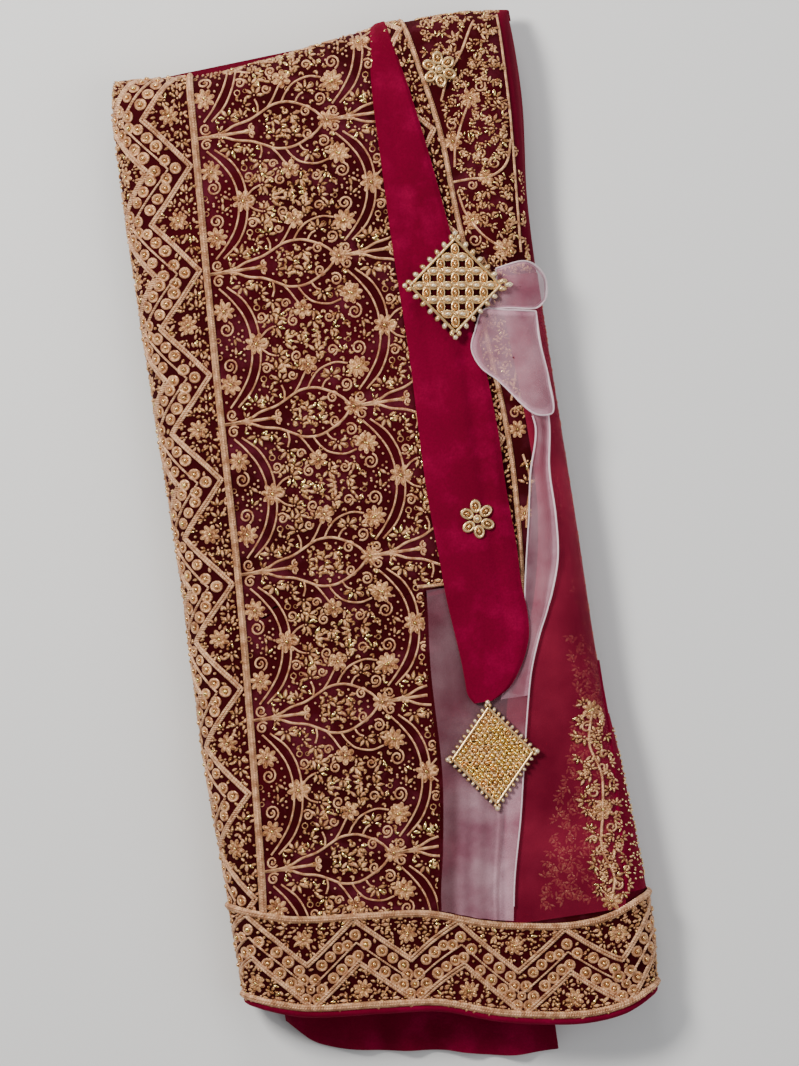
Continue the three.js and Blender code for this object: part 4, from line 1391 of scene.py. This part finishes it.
def spreadShape(u, v):
    along = -212 + 186 * v
    left = readTable(lines["seam"], along) + 1
    right = np.where(along < -92, readTable(lines["tailRight"], along),
        44 + 21 * (1 - smoothStep(along, -92, -84)))
    across = left + (right - left) * u
    along = np.maximum(along, hemAt(across) + skirt["hemWidth"] + 3)
    fan = 0.25 * np.sin(u * 26 + v * 3) * (1 - v)
    return surface(across, along, lifts["organza"] + fan + creaseLift(across, along, organzaCreases))


spread = gridPiece("organza_spread_cloth", 60, 90, spreadShape, 0.2, "organza",
    ["organza_spread"], spreadCover)


def tailShape(u, v):
    along = -91 + 153 * v
    left, right = readTable(lines["tailLeft"], along), readTable(lines["tailRight"], along)
    across = left + (right - left) * u
    fold = 0.5 * np.sin(u * 9 + v * 5)
    return surface(across, along, lifts["organza"] + 0.3 + fold)


tail = gridPiece("organza_tail_cloth", 16, 80, tailShape, 0.2, "organza", ["organza_tail"],
    organzaCover)


def loopCover(u, v):
    return 0.4 + 0.6 * smoothStep(v, 0.86, 0.95)


loops = {
    "organza_loop": [(82, 142.6), (94.6, 144.6), (102.7, 139), (106.2, 132.5), (105, 125.4),
        (102, 121.4), (96.6, 118.2), (84.8, 120.4), (75, 122.2), (81, 134)],
    "organza_lobe": [(96.4, 116.6), (84.6, 119.2), (72, 121.4), (66, 111), (62.5, 101), (66, 90.5),
        (74, 82.2), (82, 71.8), (90, 60.5), (97.6, 60.5), (98, 78), (96.4, 98)],
}
for name, outline in loops.items():
    edge = smoothPath(outline + outline[:1], 2)
    middle = edge.mean(0)

    def loopShape(u, v, edge=edge, middle=middle):
        turn = u * (len(edge) - 1)
        at = np.minimum(turn.astype(int), len(edge) - 2)
        share = (turn - at)[:, None]
        rim = edge[at] * (1 - share) + edge[at + 1] * share
        flat = middle + (rim - middle) * (0.02 + 0.98 * v)[:, None]
        puff = 1.3 * np.sqrt(np.clip(1 - v**2, 0, 1)) + 0.35 * np.sin(flat[:, 0] * 0.7 + flat[:,
            1] * 0.25)
        return surface(flat[:, 0], flat[:, 1], lifts["knot"] + puff)

    piece = gridPiece(name + "_cloth", 70, 14, loopShape, 0.2, "organza", [name], loopCover)
    area = abs(sum(a[0] * b[1] - a[1] * b[0] for a, b in zip(edge, edge[1:]))) / 2 * 1e-6

hems = Stitching()
for name, outline in loops.items():
    hems.line(smoothPath(outline + outline[:1], 1.5), 0.95, 0.9, "organzaHem")
hems.made("organza_knot_hems", laidAt(7.7), "organza")
tailHems = Stitching()
for side in ("tailLeft", "tailRight"):
    y = np.linspace(-88 if side == "tailLeft" else -204, 60, 110)
    tailHems.line(np.stack([readTable(lines[side], y), y], -1), 0.85, 0.7, "organzaHem")
tailHems.made("organza_tail_hems", laidAt(lifts["organza"] + 0.4), "organza")

print("stage: the ornaments and flowers")
ornaments = {
    "ornament_upper": {"x": 58.6, "y": 136.5, "wide": 28, "tall": 29, "turn": -8, "lift": 11.15,
        "lattice": True},
    "ornament_lower": {"x": 41.4, "y": -120.6, "wide": 25, "tall": 29.7, "turn": -3, "lift": 5.05,
        "lattice": False},
}
for name, ornament in ornaments.items():
    work = Stitching()
    c, s = math.cos(math.radians(ornament["turn"])), math.sin(math.radians(ornament["turn"]))

    def place(a, b):
        # a and b run from -1 to 1 along the two diagonals of the diamond
        x, y = a * ornament["wide"], b * ornament["tall"]
        return ornament["x"] + x * c - y * s, ornament["y"] + x * s + y * c

    turn = math.radians(ornament["turn"])
    wide, tall = ornament["wide"], ornament["tall"]
    if ornament["lattice"]:
        pitch = 7.8
        for i in range(-6, 7):
            for j in range(-6, 7):
                for half, along in (((0.5, 0), 0), ((0, 0.5), math.pi / 2)):
                    a, b = (i + half[0]) * pitch / wide, (j + half[1]) * pitch / tall
                    if abs(a) + abs(b) > 0.84:
                        continue
                    x, y = place(a, b)
                    work.motif("ring", x, y, 3.9, 2.5, 3.0, turn + along, "paleGold")
                    work.motif("stone", x, y, 2.7, 1.6, 3.4, turn + along, "stone" if along else "pearl")
                if (abs(i) / wide + abs(j) / tall) * pitch < 0.8:
                    work.motif("bead", *place(i * pitch / wide, j * pitch / tall), 1, 1, 2.2, 0,
                        "paleGold")
    else:
        steps = 8
        for i in range(-steps, steps + 1):
            for j in range(-steps, steps + 1):
                a, b = (i + j) / (2 * steps), (i - j) / (2 * steps)
                if abs(a) + abs(b) > 0.86:
                    continue
                x, y = place(a, b)
                if i % 2 == 0 and j % 2 == 0:
                    work.motif("ring", x, y, 3.0, 2.5, 3.0, sprinkle(0, 3), "paleGold")
                    work.motif("stone", x, y, 2.0, 1.6, 3.6, sprinkle(0, 3),
                        "glint" if random.random() < 0.5 else "stone")
                else:
                    x, y = x + sprinkle(-0.4, 0.4), y + sprinkle(-0.4, 0.4)
                    work.motif("bead", x, y, 1.35, 1.35, 1.5, 0,
                        "paleGold" if random.random() < 0.6 else "glint")
    corners = [(1, 0), (0, 1), (-1, 0), (0, -1), (1, 0)]
    rim = 7 if ornament["lattice"] else 11
    for (a0, b0), (a1, b1) in zip(corners, corners[1:]):
        shares = np.linspace(0, 1, 12)
        path = [place((a0 + (a1 - a0) * t) * 0.88, (b0 + (b1 - b0) * t) * 0.88) for t in shares]
        work.line(path, 1.7, 2.6, "paleGold")
        for k in range(rim):
            t = (k + 0.5) / rim
            x, y = place((a0 + (a1 - a0) * t) * 0.97, (b0 + (b1 - b0) * t) * 0.97)
            out = math.atan2(y - ornament["y"], x - ornament["x"])
            size = 2.1 if ornament["lattice"] else 1.5
            work.motif("stone", x, y, size, size * 0.8, 2.4, out, "pearl" if k % 2 else "paleGold")
        work.motif("bead", *place(a0 * 0.98, b0 * 0.98), 1.7, 1.7, 2.0, 0, "pearl")
    base = [place(a * 0.88, b * 0.88) for a, b in corners[:4]]
    bed = np.array([(x, y, z) for z in (-1.6, -0.6) for x, y in base])
    sides = [(0, 3, 2, 1), (4, 5, 6, 7)] + [(k, (k + 1) % 4, 4 + (k + 1) % 4, 4 + k) for k in range(4)]
    work.add(bed, sides, "borderVelvet", bed * 0)
    work.made(name + "_beadwork", laidAt(ornament["lift"] + 0.6), "ornament_gold", [name])

blooms = {
    "flower_upper": {"x": 67.4, "y": 255, "wide": 10, "tall": 10.5, "lift": 4.2},
    "flower_lower": {"x": 52, "y": 8.6, "wide": 10, "tall": 11.7, "lift": 8.2},
}
for name, bloom in blooms.items():
    work = Stitching()
    for k in range(6):
        angle = 2 * math.pi * (k + 0.5) / 6
        x = bloom["x"] + bloom["wide"] * 0.6 * math.cos(angle)
        y = bloom["y"] + bloom["tall"] * 0.6 * math.sin(angle)
        long, across = bloom["wide"] * 0.4, bloom["wide"] * 0.31
        work.motif("ring", x, y, long, across, 2.6, angle, "paleGold")
        work.motif("thinRing", x, y, long * 0.72, across * 0.7, 2.2, angle, "paleGold")
        work.motif("stone", x, y, long * 0.5, across * 0.45, 2.6, angle, "stone")
    work.motif("ring", bloom["x"], bloom["y"], 2.5, 2.5, 3, 0, "paleGold")
    work.motif("stone", bloom["x"], bloom["y"], 1.6, 1.6, 3.2, 0, "pearl")
    work.made(name + "_beadwork", laidAt(bloom["lift"]), "ornament_gold", [name])

print("stage: the floor")
floorPaint = Paint("paleFloor")
floorFinish = floorPaint.finish({"Base Color": soft((0.8, 0.8, 0.79)), "Roughness": 0.7})
clearSelection()
bpy.ops.mesh.primitive_plane_add(size=6, location=(0, 0, 0))
floor = bpy.context.object
floor.name = "floor"
floor.data.materials.append(floorFinish)
